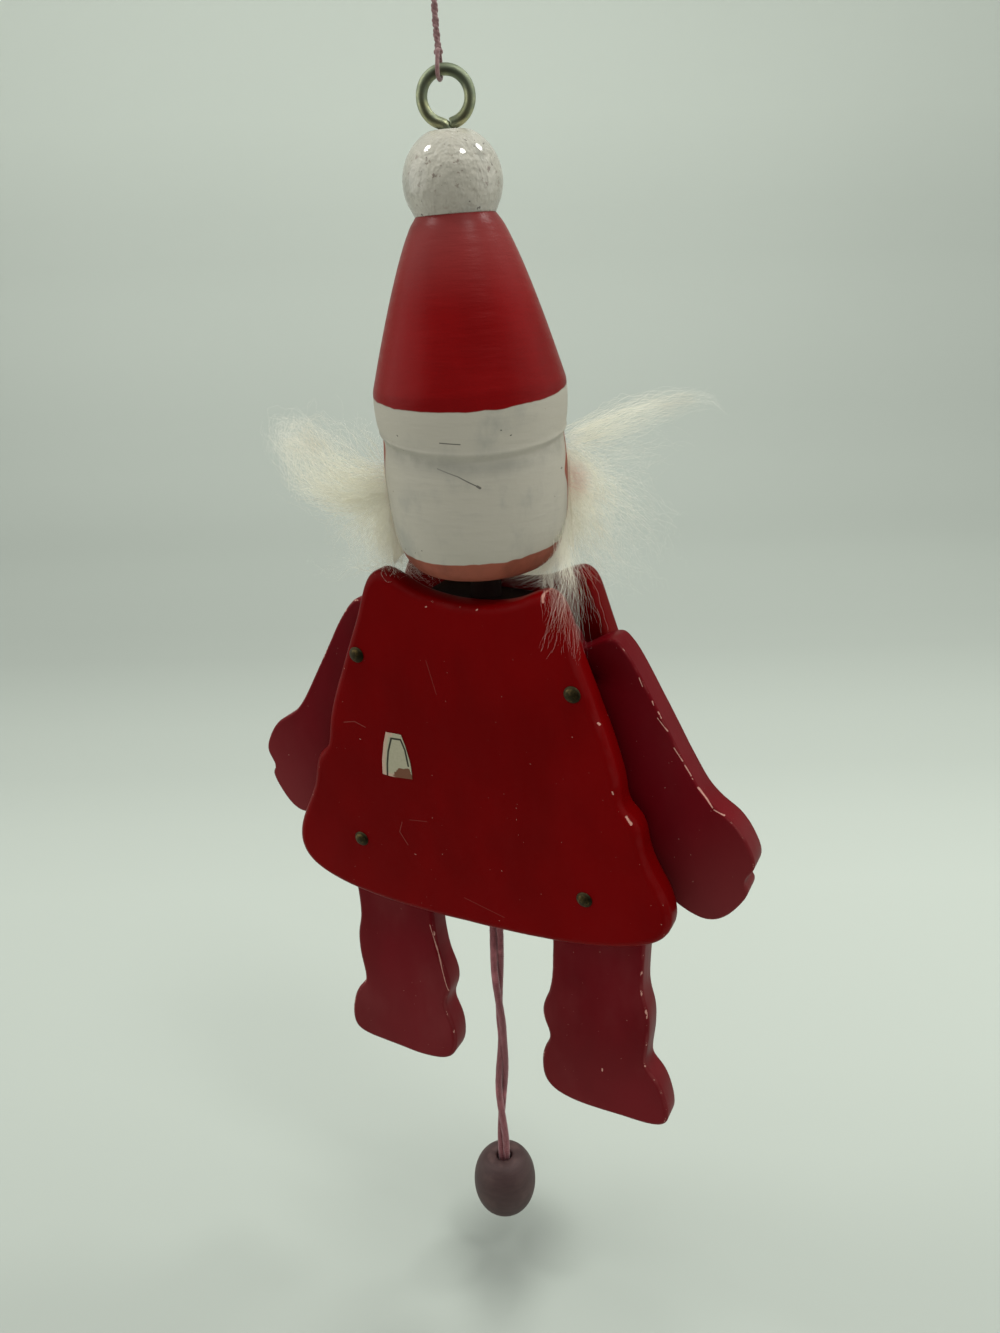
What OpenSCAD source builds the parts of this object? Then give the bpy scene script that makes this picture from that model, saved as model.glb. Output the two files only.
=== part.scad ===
// Pull string jumping jack: a bearded winter figure sawn from thin board, hung by a screw eye.
// Millimetres. The origin is the centre of the screw eye's ring, +Z is up, and the front faces -Y.
// Left and right are the figure's own, so its right hand is on the -X side.

/* [Screw eye] */
// Diameter of the eye's brass wire
wire_d = 1.9; // [1.6:0.1:2.3]
// Outside diameter of the ring
ring_d = 9.9; // [9.1:0.1:10.9]
// Turn of the ring about its shank, in degrees
ring_turn = 27; // [-30:1:30]
// Length of the shank below the ring
shank_l = 22; // [20:1:28]

/* [Hat and head] */
// Diameter of the ball on the hat
ball_d = 17.1; // [15.5:0.1:18.5]
// Height of the ball between its flat ends
ball_h = 12.6; // [11.4:0.2:13.8]
// Diameter of the hat's tip, under the ball
tip_d = 13.4; // [11:0.2:14]
// Height of the hat's red cone
cone_h = 28.4; // [26:0.2:31]
// Diameter of the head, which is the hat's foot too
head_d = 35; // [32:0.5:38]
// Height of the rolled band round the hat
band_h = 9.8; // [8:0.2:11]
// How far the band stands out from the head
band_step = 0.5; // [0.3:0.1:1]
// Height of the head below the band
face_h = 24.7; // [23:0.1:26.5]
// Diameter of the flat under the chin
chin_d = 12; // [10:0.5:14]
// Lean of the head towards the figure's right, in degrees
head_lean = 3.2; // [0:0.1:4]
// Turn of the face towards the figure's left, in degrees
head_turn = 28; // [0:1:30]
// Sideways distance from the ring to the coat's middle
ring_offset = 4.1; // [0:0.1:5]
// Diameter of the nose
nose_d = 5; // [4:0.2:6]

/* [Beard] */
// Thickness of the fur at the chin
beard_t = 7; // [5:0.5:10]
// How far the fur hangs below the shoulders in front
beard_drop = 17; // [12:0.5:22]
// How far the tufts beside the ears stand out from the head
tuft_l = 19; // [12:0.5:22]
// Half of the angle that the beard covers round the head, in degrees
beard_reach = 84; // [76:1:90]

/* [Neck] */
// Diameter of the neck's dowel
dowel_d = 6; // [5:0.5:7]
// Gap between the chin and the neckline
neck_gap = 3.8; // [3:0.1:5]
// Depth of the dip in the neckline
neck_dip = 3.9; // [3:0.1:5]
// Width of the block between the coat's panels
block_w = 22; // [18:0.5:23]
// Room between the block and the arms' cross string
block_gap = 1.2; // [0.8:0.1:2]

/* [Coat] */
// Width of the coat at its hem
coat_w = 86.6; // [85:0.2:90]
// Height of the coat
coat_h = 77; // [75:0.5:80]
// Thickness of each panel
panel_t = 6; // [5:0.25:8]
// Space between the two panels
panel_gap = 10; // [9.6:0.1:12]
// How much lower the hand sawn hem runs on one side than in the middle
hem_drop = 2.6; // [0:0.1:3]

/* [Arms and legs] */
// Thickness of the arms and legs
limb_t = 6; // [5:0.1:6.4]
// Length of an arm from its nail to the fingertips
arm_l = 52.2; // [50:0.2:56]
// Width of an arm
arm_w = 17.8; // [16:0.2:19]
// Angle between a hanging arm and the upright, in degrees
arm_hang = 31.4; // [31:0.1:34]
// Distance from an arm's nail to its string hole
arm_lever = 9; // [8.4:0.1:10]
// Mean length of the legs from their nails to their soles
leg_l = 63.8; // [60:0.2:70]
// How much longer the left leg was sawn than the right
leg_uneven = 3.2; // [0:0.1:4]
// Width of a leg
leg_w = 22; // [20:0.2:23]
// How far the legs hang towards the figure's right, in degrees
leg_hang = 1.4; // [0:0.1:2]
// Distance from a leg's nail to its string hole
leg_lever = 10; // [9.4:0.1:11]

/* [Nails] */
// Diameter of a nail
nail_d = 1.8; // [1.4:0.1:2.2]
// Diameter of a nail's head
nail_head_d = 3.4; // [2.8:0.1:4.2]
// Height of a nail's head
nail_head_h = 0.8; // [0.5:0.1:1.1]

/* [Strings and bead] */
// Diameter of the cross strings
cord_d = 1.2; // [0.8:0.1:1.4]
// Width of the doubled pull string
pull_d = 2.8; // [2.2:0.1:3]
// How far a full pull moves the string
pull_travel = 10; // [8:0.1:10.6]
// Diameter of the bead
bead_d = 15.5; // [13.5:0.1:17]
// Height of the bead
bead_h = 17.3; // [15.5:0.1:19]
// Gap between the hem and the bead
bead_drop = 77; // [75:0.5:80]
// Diameter of the hanging string
hang_d = 1.2; // [0.9:0.1:1.4]

/* [Sticker] */
// Width of the paper sticker's foot
sticker_w = 6.6; // [5:0.2:8]
// Height of the paper sticker
sticker_h = 10.4; // [8:0.2:12]

/* [Hidden] */
$fn = 48;

// One overrun serves all cuts, and one bite all glued and driven fits
overrun = 1;
bite = 0.05;
// Radial clearance of a limb on its nail
nail_play = 0.08;
// Gap that soft pieces keep from their neighbours
soft_gap = 0.3;
// Room that a string has round itself in a hole
string_play = 0.5;
// Depth of the block below the dip in the neckline
block_sink = 1.5;
right = -1;
left = 1;

// Heights along the head's own axis, measured down from the ring's centre
ring_r = (ring_d - wire_d) / 2;
ball_top = ring_d / 2 + bite;
hat_top = ball_top + ball_h;
band_top = hat_top + cone_h;
face_top = band_top + band_h;
chin = face_top + face_h;
head_r = head_d / 2;
face_r = head_r - band_step;

// The coat hangs under the chin, beside the ring's own upright
coat_x = -ring_offset;
chin_z = -chin * cos(head_lean);
coat_top = chin_z - neck_gap + neck_dip;
coat_r = coat_w / 2;
front_y = -panel_gap / 2 - panel_t;

// Outline of the coat's half: share of the half width, share of the height, softness of the bend
coat_shares = [
    [0.19, 0.055, 0.5], [0.4, -0.008, 0.35], [0.475, 0.018, 0.4], [0.56, 0.16, 0.5],
    [0.665, 0.3, 0.5], [0.755, 0.44, 0.5], [0.775, 0.53, 0.3], [0.86, 0.565, 0.5],
    [0.885, 0.67, 0.5], [1.025, 0.8, 0.5], [1.01, 0.905, 0.5], [0.8, 0.965, 0.5],
    [0.41, 1, 0.5]
];
// The nails of the arms and legs: share of the half width, share of the height
arm_pivot_shares = [0.545, 0.237];
leg_pivot_shares = [0.609, 0.809];
// Outline of an arm that hangs straight down: share of the width outward from the nail,
// share of the length below the nail, softness of the bend
arm_shares = [
    [0.495, -0.11, 0.25], [0.57, 0.005, 0.5], [0.51, 0.51, 0.4], [0.57, 0.61, 0.5],
    [0.735, 0.71, 0.5], [0.705, 0.875, 0.45], [0.435, 0.915, 0.35], [0.49, 0.97, 0.5],
    [-0.085, 1.06, 0.5], [-0.4, 0.96, 0.5], [-0.54, 0.805, 0.5], [-0.43, 0.62, 0.5],
    [-0.43, -0.105, 0.2]
];
// Outline of a leg, the same way
leg_shares = [
    [0.32, -0.13, 0.45], [0.4, -0.02, 0.5], [0.465, 0.2, 0.5], [0.4, 0.41, 0.5], [0.52, 0.545, 0.5],
    [0.445, 0.735, 0.25], [0.625, 0.795, 0.5], [0.72, 0.935, 0.5], [0.64, 1, 0.5],
    [0.165, 1.005, 0.5], [-0.33, 1.015, 0.5], [-0.67, 0.97, 0.5], [-0.69, 0.825, 0.5],
    [-0.565, 0.735, 0.3], [-0.69, 0.62, 0.5], [-0.5, 0.485, 0.5], [-0.54, -0.13, 0.3]
];
// Outline of the torn sticker: share of its width, share of its height
sticker_shares = [[-0.5, -0.5], [-0.36, 0.5], [0.1, 0.46], [0.34, 0.12], [0.5, -0.46]];
// Fullness of the hat's cone and of the cheeks
cone_share = 0.76;
cheek_power = 3;

// How far the limbs swing while the string moves its full travel
arm_swing = 2 * asin(pull_travel / 2 / arm_lever);
leg_swing = 2 * asin(pull_travel / 2 / leg_lever);

// The block fills the height between the neckline's dip and the arms' cross string
arm_string_z = coat_top - arm_pivot_shares.y * coat_h + arm_lever * sin(arm_swing / 2);
block_top = coat_top - neck_dip - block_sink;
block_h = block_top - arm_string_z - cord_d / 2 - block_gap;
// A string hole lets the string shift as its lever swings
hole_r = cord_d / 2 + leg_lever * (1 - cos(leg_swing / 2)) / 2 + string_play;
ear_r = hole_r + 2 * cord_d;
loop_y = panel_gap / 2 - soft_gap - cord_d / 2;

function arm_pivot(side) = pivot(side, arm_pivot_shares);
function leg_pivot(side) = pivot(side, leg_pivot_shares);
function pivot(side, shares) = [coat_x + side * shares.x * coat_r, coat_top - shares.y * coat_h];

// The hole's place beside its nail at rest, as far above the nail as it ends below
function lever_hole(side, lever, swing) = lever * [-side * cos(swing / 2), sin(swing / 2)];

// A closed outline whose corners are bent as softly as each point says
bend_steps = 5;
function softened(p) = [
    for (i = [0 : len(p) - 1])
        let (n = len(p), b = p[i])
        each bend(xy(p[(i + n - 1) % n]), xy(b), xy(p[(i + 1) % n]), b[2])
];
function xy(p) = [p.x, p.y];
function bend(a, b, c, softness) = [
    for (k = [0 : bend_steps - 1])
        let (t = (k + 0.5) / bend_steps, p = b + (a - b) * softness, q = b + (c - b) * softness)
        p * (1 - t) * (1 - t) + b * 2 * t * (1 - t) + q * t * t
];

// The coat's outline, with the hem's lean growing towards the hem
function coat_point(side, s) = [
    side * s.x * coat_r, -s.y * coat_h - side * hem_drop * s.x * s.y * s.y, s[2]
];
function coat_outline() = concat(
    [for (s = coat_shares) coat_point(left, s)],
    [for (i = [len(coat_shares) - 1 : -1 : 0]) coat_point(right, coat_shares[i])]
);

// A board sawn to an outline in X and Z, between two depths
module board(outline, y0, y1) {
    translate([0, y1, 0])
        rotate([90, 0, 0])
            linear_extrude(y1 - y0)
                polygon(outline);
}

// A round bore or peg along Y
module along_y(r, y0, y1) {
    translate([0, y1, 0])
        rotate([90, 0, 0])
            cylinder(r = r, h = y1 - y0);
}

// What belongs to the head leans with it about the ring
module leaning() {
    rotate([0, head_lean, 0])
        children();
}

module at_point(p) {
    translate([p.x, 0, p.y])
        children();
}

module wood_red() { color([0.62, 0.04, 0.04]) children(); }
module wood_maroon() { color([0.5, 0.05, 0.07]) children(); }
module brass() { color([0.6, 0.52, 0.28]) children(); }
module cord_red() { color([0.6, 0.12, 0.16]) children(); }

// One node for each piece of the eye, hat and head
module screw_eye() {
    core_r = wire_d / 2 - 4 * bite;
    brass() leaning() rotate([0, 0, ring_turn]) {
        rotate([90, 0, 0])
            rotate_extrude()
                translate([ring_r, 0])
                    circle(d = wire_d);
        translate([0, 0, -ball_top])
            cylinder(d = wire_d, h = ball_top - ring_r);
        translate([0, 0, -shank_l])
            cylinder(r = core_r, h = shank_l - ball_top + bite);
        translate([0, 0, -shank_l])
            rotate_extrude()
                polygon(thread_profile(core_r, wire_d / 2, shank_l - hat_top));
        translate([0, 0, -shank_l - wire_d])
            cylinder(r1 = 4 * bite, r2 = core_r, h = wire_d);
    }
}

// The thread as a row of sharp ridges
thread_pitch = 0.9;
function thread_profile(r0, r1, length) =
    let (turns = floor(length / thread_pitch))
    concat(
        [[0, 0]],
        [for (i = [0 : turns - 1]) each [[r0, i * thread_pitch], [r1, (i + 0.5) * thread_pitch]]],
        [[r0, turns * thread_pitch], [0, turns * thread_pitch]]
    );

module hat_ball() {
    middle = ball_top + ball_h * 0.615;
    color([0.85, 0.84, 0.8]) leaning() difference() {
        intersection() {
            translate([0, 0, -middle])
                sphere(d = ball_d);
            translate([0, 0, -hat_top])
                cylinder(d = ball_d + overrun, h = ball_h);
        }
        translate([0, 0, -hat_top - overrun])
            cylinder(r = wire_d / 2 - 4 * bite, h = ball_h + 2 * overrun);
    }
}

module turned_head() {
    tip_r = tip_d / 2;
    chin_r = chin_d / 2;
    steps = 12;
    cone = [
        for (i = [0 : steps])
            [tip_r + (head_r - tip_r) * pow(i / steps, cone_share), -hat_top - cone_h * i / steps]
    ];
    band = [
        for (i = [0 : 30 : 180])
            [head_r + band_step * (sin(i) - 1 + cos(i)) / 2, -band_top - band_h * i / 180]
    ];
    cheeks = [
        for (i = [0 : steps])
            let (t = sin(90 * i / steps), full = pow(1 - pow(t, cheek_power), 1 / cheek_power))
            [chin_r + (face_r - chin_r) * full, -face_top - face_h * t]
    ];
    color([0.85, 0.84, 0.8]) leaning() difference() {
        rotate_extrude($fn = 96)
            polygon(concat([[0, -hat_top]], cone, [for (i = [1 : 5]) band[i]], cheeks, [[0, -chin]]));
        translate([0, 0, -shank_l - wire_d])
            cylinder(r = wire_d / 2 - 4 * bite, h = shank_l + wire_d);
        translate([0, 0, -chin - overrun])
            cylinder(r = dowel_d / 2 - bite, h = 2 * dowel_d + overrun);
        nose_place()
            along_y(nose_peg_r - bite, -nose_d, nose_d);
    }
}

nose_peg_r = nose_d / 4;
module nose_place() {
    rotate([0, 0, head_turn])
        translate([0, -face_r, -face_top - face_h * 0.36])
            children();
}

module nose() {
    color([0.75, 0.3, 0.25]) leaning() nose_place() {
        translate([0, -nose_d * 0.35, 0])
            sphere(d = nose_d);
        along_y(nose_peg_r, -nose_d * 0.35, nose_d);
    }
}

// The beard runs round the front of the head and ends in a tuft at each side
beard_sections = 22;
// Where it hangs in front of the coat: the middle of this stretch and half its angle
bib_turn = 12;
bib_angle = 34;
// Shares of the fur's own thickness and height
tuft_end_share = 0.4;
bulge_share = 0.4;
module beard() {
    inner_r = head_r + soft_gap;
    side_foot = -coat_top - 8 * soft_gap;
    bib_foot = -coat_top + beard_drop;
    sections = [
        for (i = [0 : beard_sections])
            let (
                turn = beard_reach * (2 * i / beard_sections - 1),
                angle = head_turn + turn,
                aside = angle - bib_turn,
                front = abs(aside) < bib_angle ? cos(90 * aside / bib_angle) : 0,
                side = pow(abs(turn) / beard_reach, 3),
                end = i == 0 || i == beard_sections ? tuft_end_share : 1,
                out_r = inner_r + (beard_t + (tuft_l - beard_t) * side) * end,
                mid_r = (inner_r + out_r) / 2,
                top = face_top + face_h * (0.62 - 0.6 * side),
                foot = side_foot + (bib_foot - side_foot) * front,
                bulge = (foot - top) * bulge_share / 2
            )
            [
                for (p = [
                    [inner_r, top], [mid_r, top - band_step], [out_r, top + bulge],
                    [out_r, foot - bulge], [mid_r, foot], [inner_r, foot - band_step]
                ])
                    [p.x * sin(angle), -p.x * cos(angle), -p.y]
            ]
    ];
    color([0.88, 0.85, 0.76]) leaning()
        skin(sections);
}

// A closed skin over rings of points, each ring running the same way
module skin(rings, closed = false) {
    n = len(rings[0]);
    m = len(rings);
    last = closed ? m - 1 : m - 2;
    sides = [
        for (i = [0 : last], j = [0 : n - 1])
            let (
                here = i * n, next = ((i + 1) % m) * n, k = (j + 1) % n,
                a = here + j, b = here + k, c = next + j, d = next + k
            )
            each [[a, c, d], [a, d, b]]
    ];
    ends = closed ? [] : [[for (j = [0 : n - 1]) j], [for (j = [n - 1 : -1 : 0]) (m - 1) * n + j]];
    polyhedron(points = [for (r = rings) each r], faces = concat(sides, ends));
}

// A round cord swept along a path, where no stretch of the path runs along the reference
cord_sides = 8;
function unit(v) = v / norm(v);
function cord_ring(p, along, r, reference) =
    let (u = unit(cross(reference, along)), v = cross(along, u))
    [
        for (k = [0 : cord_sides - 1])
            let (a = 360 * k / cord_sides)
            p + r * (u * cos(a) + v * sin(a))
    ];
module cord(path, d, reference, closed = false) {
    m = len(path);
    skin([
        for (i = [0 : m - 1])
            let (
                before = closed ? path[(i + m - 1) % m] : path[max(i - 1, 0)],
                after = closed ? path[(i + 1) % m] : path[min(i + 1, m - 1)]
            )
            cord_ring(path[i], unit(after - before), d / 2, reference)
    ], closed);
}

// The neck's dowel and the block that holds it between the panels
module neck_dowel() {
    color([0.8, 0.66, 0.45]) leaning()
        translate([0, 0, -dowel_foot])
            cylinder(d = dowel_d, h = dowel_foot - chin + 2 * dowel_d);
}
dowel_foot = -block_top + block_h * 0.9;

module neck_block() {
    color([0.8, 0.66, 0.45]) difference() {
        translate([coat_x - block_w / 2, -panel_gap / 2, block_top - block_h])
            cube([block_w, panel_gap, block_h]);
        leaning()
            translate([0, 0, -dowel_foot])
                cylinder(r = dowel_d / 2 - bite, h = dowel_foot);
    }
}

// The coat is two panels sawn together, with nail holes through the back one
nail_grip = 0.7 * panel_t;
module panel(y0, hole_y0, hole_y1) {
    difference() {
        translate([coat_x, 0, coat_top])
            board(softened(coat_outline()), y0, y0 + panel_t);
        for (p = pivots())
            at_point(p)
                along_y(nail_d / 2 - bite, hole_y0, hole_y1);
    }
}
function pivots() = [arm_pivot(right), arm_pivot(left), leg_pivot(right), leg_pivot(left)];

module front_panel() {
    wood_red()
        panel(front_y, front_y + panel_t - nail_grip, overrun);
}

module back_panel() {
    wood_red()
        panel(panel_gap / 2, 0, -front_y + overrun);
}

module nail(p) {
    tip_l = nail_d;
    foot = front_y + panel_t - nail_grip;
    brass() at_point(p) {
        along_y(nail_d / 2, foot + tip_l, -front_y + nail_head_h / 2);
        translate([0, foot, 0])
            rotate([-90, 0, 0])
                cylinder(r1 = bite, r2 = nail_d / 2, h = tip_l);
        translate([0, -front_y, 0])
            rotate([-90, 0, 0])
                rotate_extrude()
                    polygon(dome(nail_head_d / 2, nail_head_h));
    }
}
function dome(r, h) = concat(
    [[0, 0], [r, 0]],
    [for (a = [0 : 15 : 90]) [r * cos(a), h * (0.3 + 0.7 * sin(a))]]
);

// A limb turns on its nail and is pulled at the hole in its ear
module limb(p, side, hang, lever, swing, shares, width, length) {
    outline = [
        for (i = [0 : len(shares) - 1])
            let (s = shares[i])
            [side * s.x * width, -s.y * length, s[2]]
    ];
    hole = lever_hole(side, lever, swing);
    wood_maroon() at_point(p) difference() {
        union() {
            rotate([0, -side * hang, 0])
                board(softened(outline), -limb_t / 2, limb_t / 2);
            at_point(hole)
                along_y(ear_r, 2 * bite - limb_t / 2, limb_t / 2 - 2 * bite);
        }
        along_y(nail_d / 2 + nail_play, -limb_t, limb_t);
        at_point(hole)
            along_y(hole_r, -limb_t, limb_t);
    }
}

module arm(side) {
    limb(arm_pivot(side), side, arm_hang, arm_lever, arm_swing, arm_shares, arm_w, arm_l);
}

module leg(side) {
    length = leg_l + side * leg_uneven / 2;
    limb(leg_pivot(side), side, -side * leg_hang, leg_lever, leg_swing, leg_shares, leg_w, length);
}

// A cross string has an eye round each lever's ear, and a run that sags to the middle
loop_steps = 3;
function loop_path(x_in, x_out) =
    let (r = cord_d, s = x_out > x_in ? 1 : -1)
    [
        for (c = [[x_out - s * r, loop_y - r, 0], [x_in + s * r, loop_y - r, 90],
                  [x_in + s * r, r - loop_y, 180], [x_out - s * r, r - loop_y, 270]])
            for (k = [0 : loop_steps])
                let (a = c[2] + 90 * k / loop_steps)
                [c.x + s * r * cos(a), c.y + r * sin(a), 0]
    ];
sag_steps = 12;
module cross_string(p, lever, swing) {
    hole = p(left) + lever_hole(left, lever, swing);
    // The string stands in the middle of the hole's own sideways travel
    shift = lever * (1 - cos(swing / 2));
    out = hole.x - coat_x - shift / 2;
    near = out - shift / 2 - ear_r - soft_gap - cord_d / 2;
    cord_red() translate([coat_x, 0, hole.y]) {
        for (side = [right, left])
            cord(loop_path(side * near, side * out), cord_d, [0, 0, 1], true);
        cord([
            for (i = [0 : sag_steps])
                let (t = 2 * i / sag_steps - 1)
                [t * near, 0, -cord_d * (1 - t * t)]
        ], cord_d, [0, 0, 1]);
    }
}

module arm_string() {
    cross_string(function (side) arm_pivot(side), arm_lever, arm_swing);
}

module leg_string() {
    cross_string(function (side) leg_pivot(side), leg_lever, leg_swing);
}

// The pull string's way down from the arms' cross string to the knot, from the coat's top middle
pull_route = [
    [0, 0, -21], [0, 0, -28], [0, 0, -35], [0, 0, -42], [0, 0, -49], [-0.1, 0, -56],
    [-0.2, 0, -63], [-0.3, 0, -70], [-0.4, 0, -77], [-0.5, 0, -84], [-0.5, 0.1, -91],
    [-0.5, 0.2, -98], [-0.7, 0.2, -105], [-1, 0.1, -111], [-1.2, 0, -116], [-1.1, -0.1, -121],
    [-0.8, -0.1, -127], [-0.5, 0, -133], [-0.5, 0, -140], [-0.6, 0, -147], [-0.7, 0, -154],
    [-0.7, 0, -161]
];
bead_place = pull_route[len(pull_route) - 1].x;
bead_z = -coat_h - bead_drop - bead_h / 2;
knot_d = pull_d * 1.5;
knot_z = bead_z - (bead_h + knot_d) / 2 - bite;
pull_start_z = arm_string_z - coat_top - cord_d;
module pull_string() {
    cord_red() translate([coat_x, 0, coat_top])
        cord(concat([[0, 0, pull_start_z]], pull_route, [[bead_place, 0, knot_z]]), pull_d, [0, 1, 0]);
}

bead_bore_r = pull_d / 2 + string_play;
module pull_bead() {
    steps = 12;
    end_r = bead_bore_r + string_play;
    color([0.28, 0.08, 0.07]) translate([coat_x + bead_place, 0, coat_top + bead_z])
        difference() {
            rotate_extrude()
                polygon(concat(
                    [[0, bead_h / 2]],
                    [for (i = [0 : steps]) let (a = 90 - 180 * i / steps)
                        [end_r + (bead_d / 2 - end_r) * cos(a), bead_h / 2 * sin(a)]],
                    [[0, -bead_h / 2]]
                ));
            translate([0, 0, -bead_h])
                cylinder(r = bead_bore_r, h = 2 * bead_h);
        }
}

module bead_knot() {
    cord_red() translate([coat_x + bead_place, 0, coat_top + knot_z])
        sphere(d = knot_d);
}

// The hanging string is looped under the ring's top and runs up to its knot
hang_route = [
    [0.8, 0.4, 6.6], [1.1, 0.3, 9], [1.3, 0.2, 12], [1.4, 0.1, 15], [1.4, 0, 18], [1.3, 0, 21],
    [1.2, 0, 24], [1.1, 0, 27], [1, 0, 30], [1, 0, 33], [1, 0, 36], [1, 0, 40]
];
module hanging_string() {
    thread_d = hang_d * 0.65;
    eye_r = (wire_d + thread_d) / 2 + 3 * bite;
    cord_red() {
        cord(hang_route, hang_d, [0, 1, 0]);
        translate([hang_route[0].x, hang_route[0].y, ring_r - 2 * bite]) rotate([0, 0, ring_turn])
            cord([
                for (a = [-180 : 20 : 160])
                    [0, eye_r * sin(a), eye_r * cos(a) + (abs(a) < 60 ? 2 * thread_d * cos(1.5 * a) : 0)]
            ], thread_d, [1, 0, 0], true);
    }
}

module hanging_knot() {
    last = hang_route[len(hang_route) - 1];
    cord_red() translate(last + [0, 0, hang_d * 0.9])
        sphere(d = 2.4 * hang_d);
}

// A bare scrap of paper stuck low on the back panel
sticker_t = 0.12;
sticker_place_shares = [0.365, 0.506];
module paper_sticker() {
    outline = [for (s = sticker_shares) [s.x * sticker_w, s.y * sticker_h]];
    place = sticker_place_shares;
    color([0.82, 0.8, 0.7])
        translate([coat_x + place.x * coat_r, 0, coat_top - place.y * coat_h])
            board(outline, -front_y, -front_y + sticker_t);
}

screw_eye();
hat_ball();
turned_head();
nose();
beard();
neck_dowel();
neck_block();
front_panel();
back_panel();
arm(right);  // right_arm
arm(left);  // left_arm
leg(right);  // right_leg
leg(left);  // left_leg
nail(arm_pivot(right));  // right_arm_nail
nail(arm_pivot(left));  // left_arm_nail
nail(leg_pivot(right));  // right_leg_nail
nail(leg_pivot(left));  // left_leg_nail
arm_string();
leg_string();
pull_string();
pull_bead();
bead_knot();
hanging_string();
hanging_knot();
paper_sticker();
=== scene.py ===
# %% [markdown]
# # A pull string jumping jack
# A wooden winter figure hangs by a screw eye, seen from behind. Two sawn panels make its coat,
# and the arms and legs turn on nails between them. A head turned on a lathe stands on a dowel,
# with a beard of real wool glued round the face. A doubled string with a bead works the limbs.
# Each step below makes one of these pieces in metres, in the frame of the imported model.

import math

import bmesh
import bpy
from mathutils import Matrix, Vector, noise


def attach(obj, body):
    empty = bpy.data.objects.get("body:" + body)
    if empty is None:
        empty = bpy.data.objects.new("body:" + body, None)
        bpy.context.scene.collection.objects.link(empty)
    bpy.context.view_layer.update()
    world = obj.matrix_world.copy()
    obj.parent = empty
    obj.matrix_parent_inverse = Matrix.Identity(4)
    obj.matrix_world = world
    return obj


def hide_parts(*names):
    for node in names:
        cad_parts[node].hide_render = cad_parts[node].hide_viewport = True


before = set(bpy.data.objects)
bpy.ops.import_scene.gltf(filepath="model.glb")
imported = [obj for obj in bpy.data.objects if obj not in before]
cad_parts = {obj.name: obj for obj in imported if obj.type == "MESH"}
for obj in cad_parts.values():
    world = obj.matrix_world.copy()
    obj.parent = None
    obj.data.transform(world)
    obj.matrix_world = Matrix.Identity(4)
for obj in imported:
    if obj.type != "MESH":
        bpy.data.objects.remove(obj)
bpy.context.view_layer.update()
MM = 0.001
print("CAD nodes:", len(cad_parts))

# %% [markdown]
# ## The camera
# The photograph was taken from behind and a little above, slightly turned in the hand. The
# camera's three directions and its place were solved from the figure's own outline, so they
# are written as they are. The lens belongs to a 36 mm wide sensor laid along the long side.

# %% Stand the camera where the photographer stood
CAMERA_PLACE = Vector((-0.09563, 0.16855, -0.01945))
CAMERA_RIGHT = Vector((-0.89020, -0.45492, -0.02439))
CAMERA_UP = Vector((0.15894, -0.36030, 0.91922))
CAMERA_BACK = Vector((-0.42696, 0.81440, 0.39304))
SENSOR_MM, LENS_MM = 36, 27.96

camera_data = bpy.data.cameras.new("camera")
camera_data.sensor_width = SENSOR_MM
camera_data.lens = LENS_MM
camera_data.clip_start = 0.01
camera = bpy.data.objects.new("camera", camera_data)
bpy.context.scene.collection.objects.link(camera)
facing = Matrix((CAMERA_RIGHT, CAMERA_UP, CAMERA_BACK)).transposed().to_4x4()
camera.matrix_world = Matrix.Translation(CAMERA_PLACE) @ facing
bpy.context.scene.camera = camera
print("camera at", tuple(round(c, 3) for c in CAMERA_PLACE))

# %% [markdown]
# Small marks and loose locks are easiest to place by where the photograph shows them. A line
# of sight goes out through a pixel of the picture, which is 1000 pixels wide and 1333 high,
# and meets a plane on the model. That gives a real place that holds from any other side.

# %% From a pixel of the photograph to a place on the model
PICTURE_WIDE, PICTURE_HIGH = 1000, 1333
PICTURE_MIDDLE = (PICTURE_WIDE / 2, PICTURE_HIGH / 2)
PIXELS_AHEAD = camera_data.lens / SENSOR_MM * PICTURE_HIGH


def seen_on_plane(pixel, plane_point, plane_normal):
    """Where the line of sight through a pixel meets a plane, in millimetres."""
    aside, down = pixel[0] - PICTURE_MIDDLE[0], pixel[1] - PICTURE_MIDDLE[1]
    sight = (aside * CAMERA_RIGHT - down * CAMERA_UP) / PIXELS_AHEAD - CAMERA_BACK
    far = (plane_point - CAMERA_PLACE).dot(plane_normal) / sight.dot(plane_normal)
    return (CAMERA_PLACE + far * sight) / MM


def on_board(pixel, depth=11):
    """X and Z on a board whose back face lies at a depth, in millimetres."""
    p = seen_on_plane(pixel, Vector((0, depth * MM, 0)), Vector((0, 1, 0)))
    return p.x, p.z


print("the coat's middle is seen at X, Z", tuple(round(v, 1) for v in on_board((480, 750))))

# %% [markdown]
# ## Small helpers for node trees
# Materials and Geometry Nodes are both trees of nodes. One helper adds a node, fills its
# inputs and takes another node's output wherever a value comes from one, so that a finish
# reads almost like a formula. A second one mixes two colours, and a third turns a value into
# a mask with a soft edge.


# %% Helpers that add nodes
def add(tree, kind, inputs=None, **settings):
    made = tree.nodes.new(kind)
    for name, value in settings.items():
        setattr(made, name, value)
    for name, value in (inputs or {}).items():
        socket = made.inputs[name]
        if isinstance(value, bpy.types.NodeSocket):
            tree.links.new(value, socket)
        else:
            socket.default_value = value
    return made


def sum_of(tree, operation, a, b=0.0, c=0.0):
    return add(tree, "ShaderNodeMath", {0: a, 1: b, 2: c}, operation=operation).outputs[0]


def times(tree, a, b):
    return sum_of(tree, "MULTIPLY", a, b)


def times_plus(tree, a, factor, more):
    return sum_of(tree, "MULTIPLY_ADD", a, factor, more)


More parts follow.
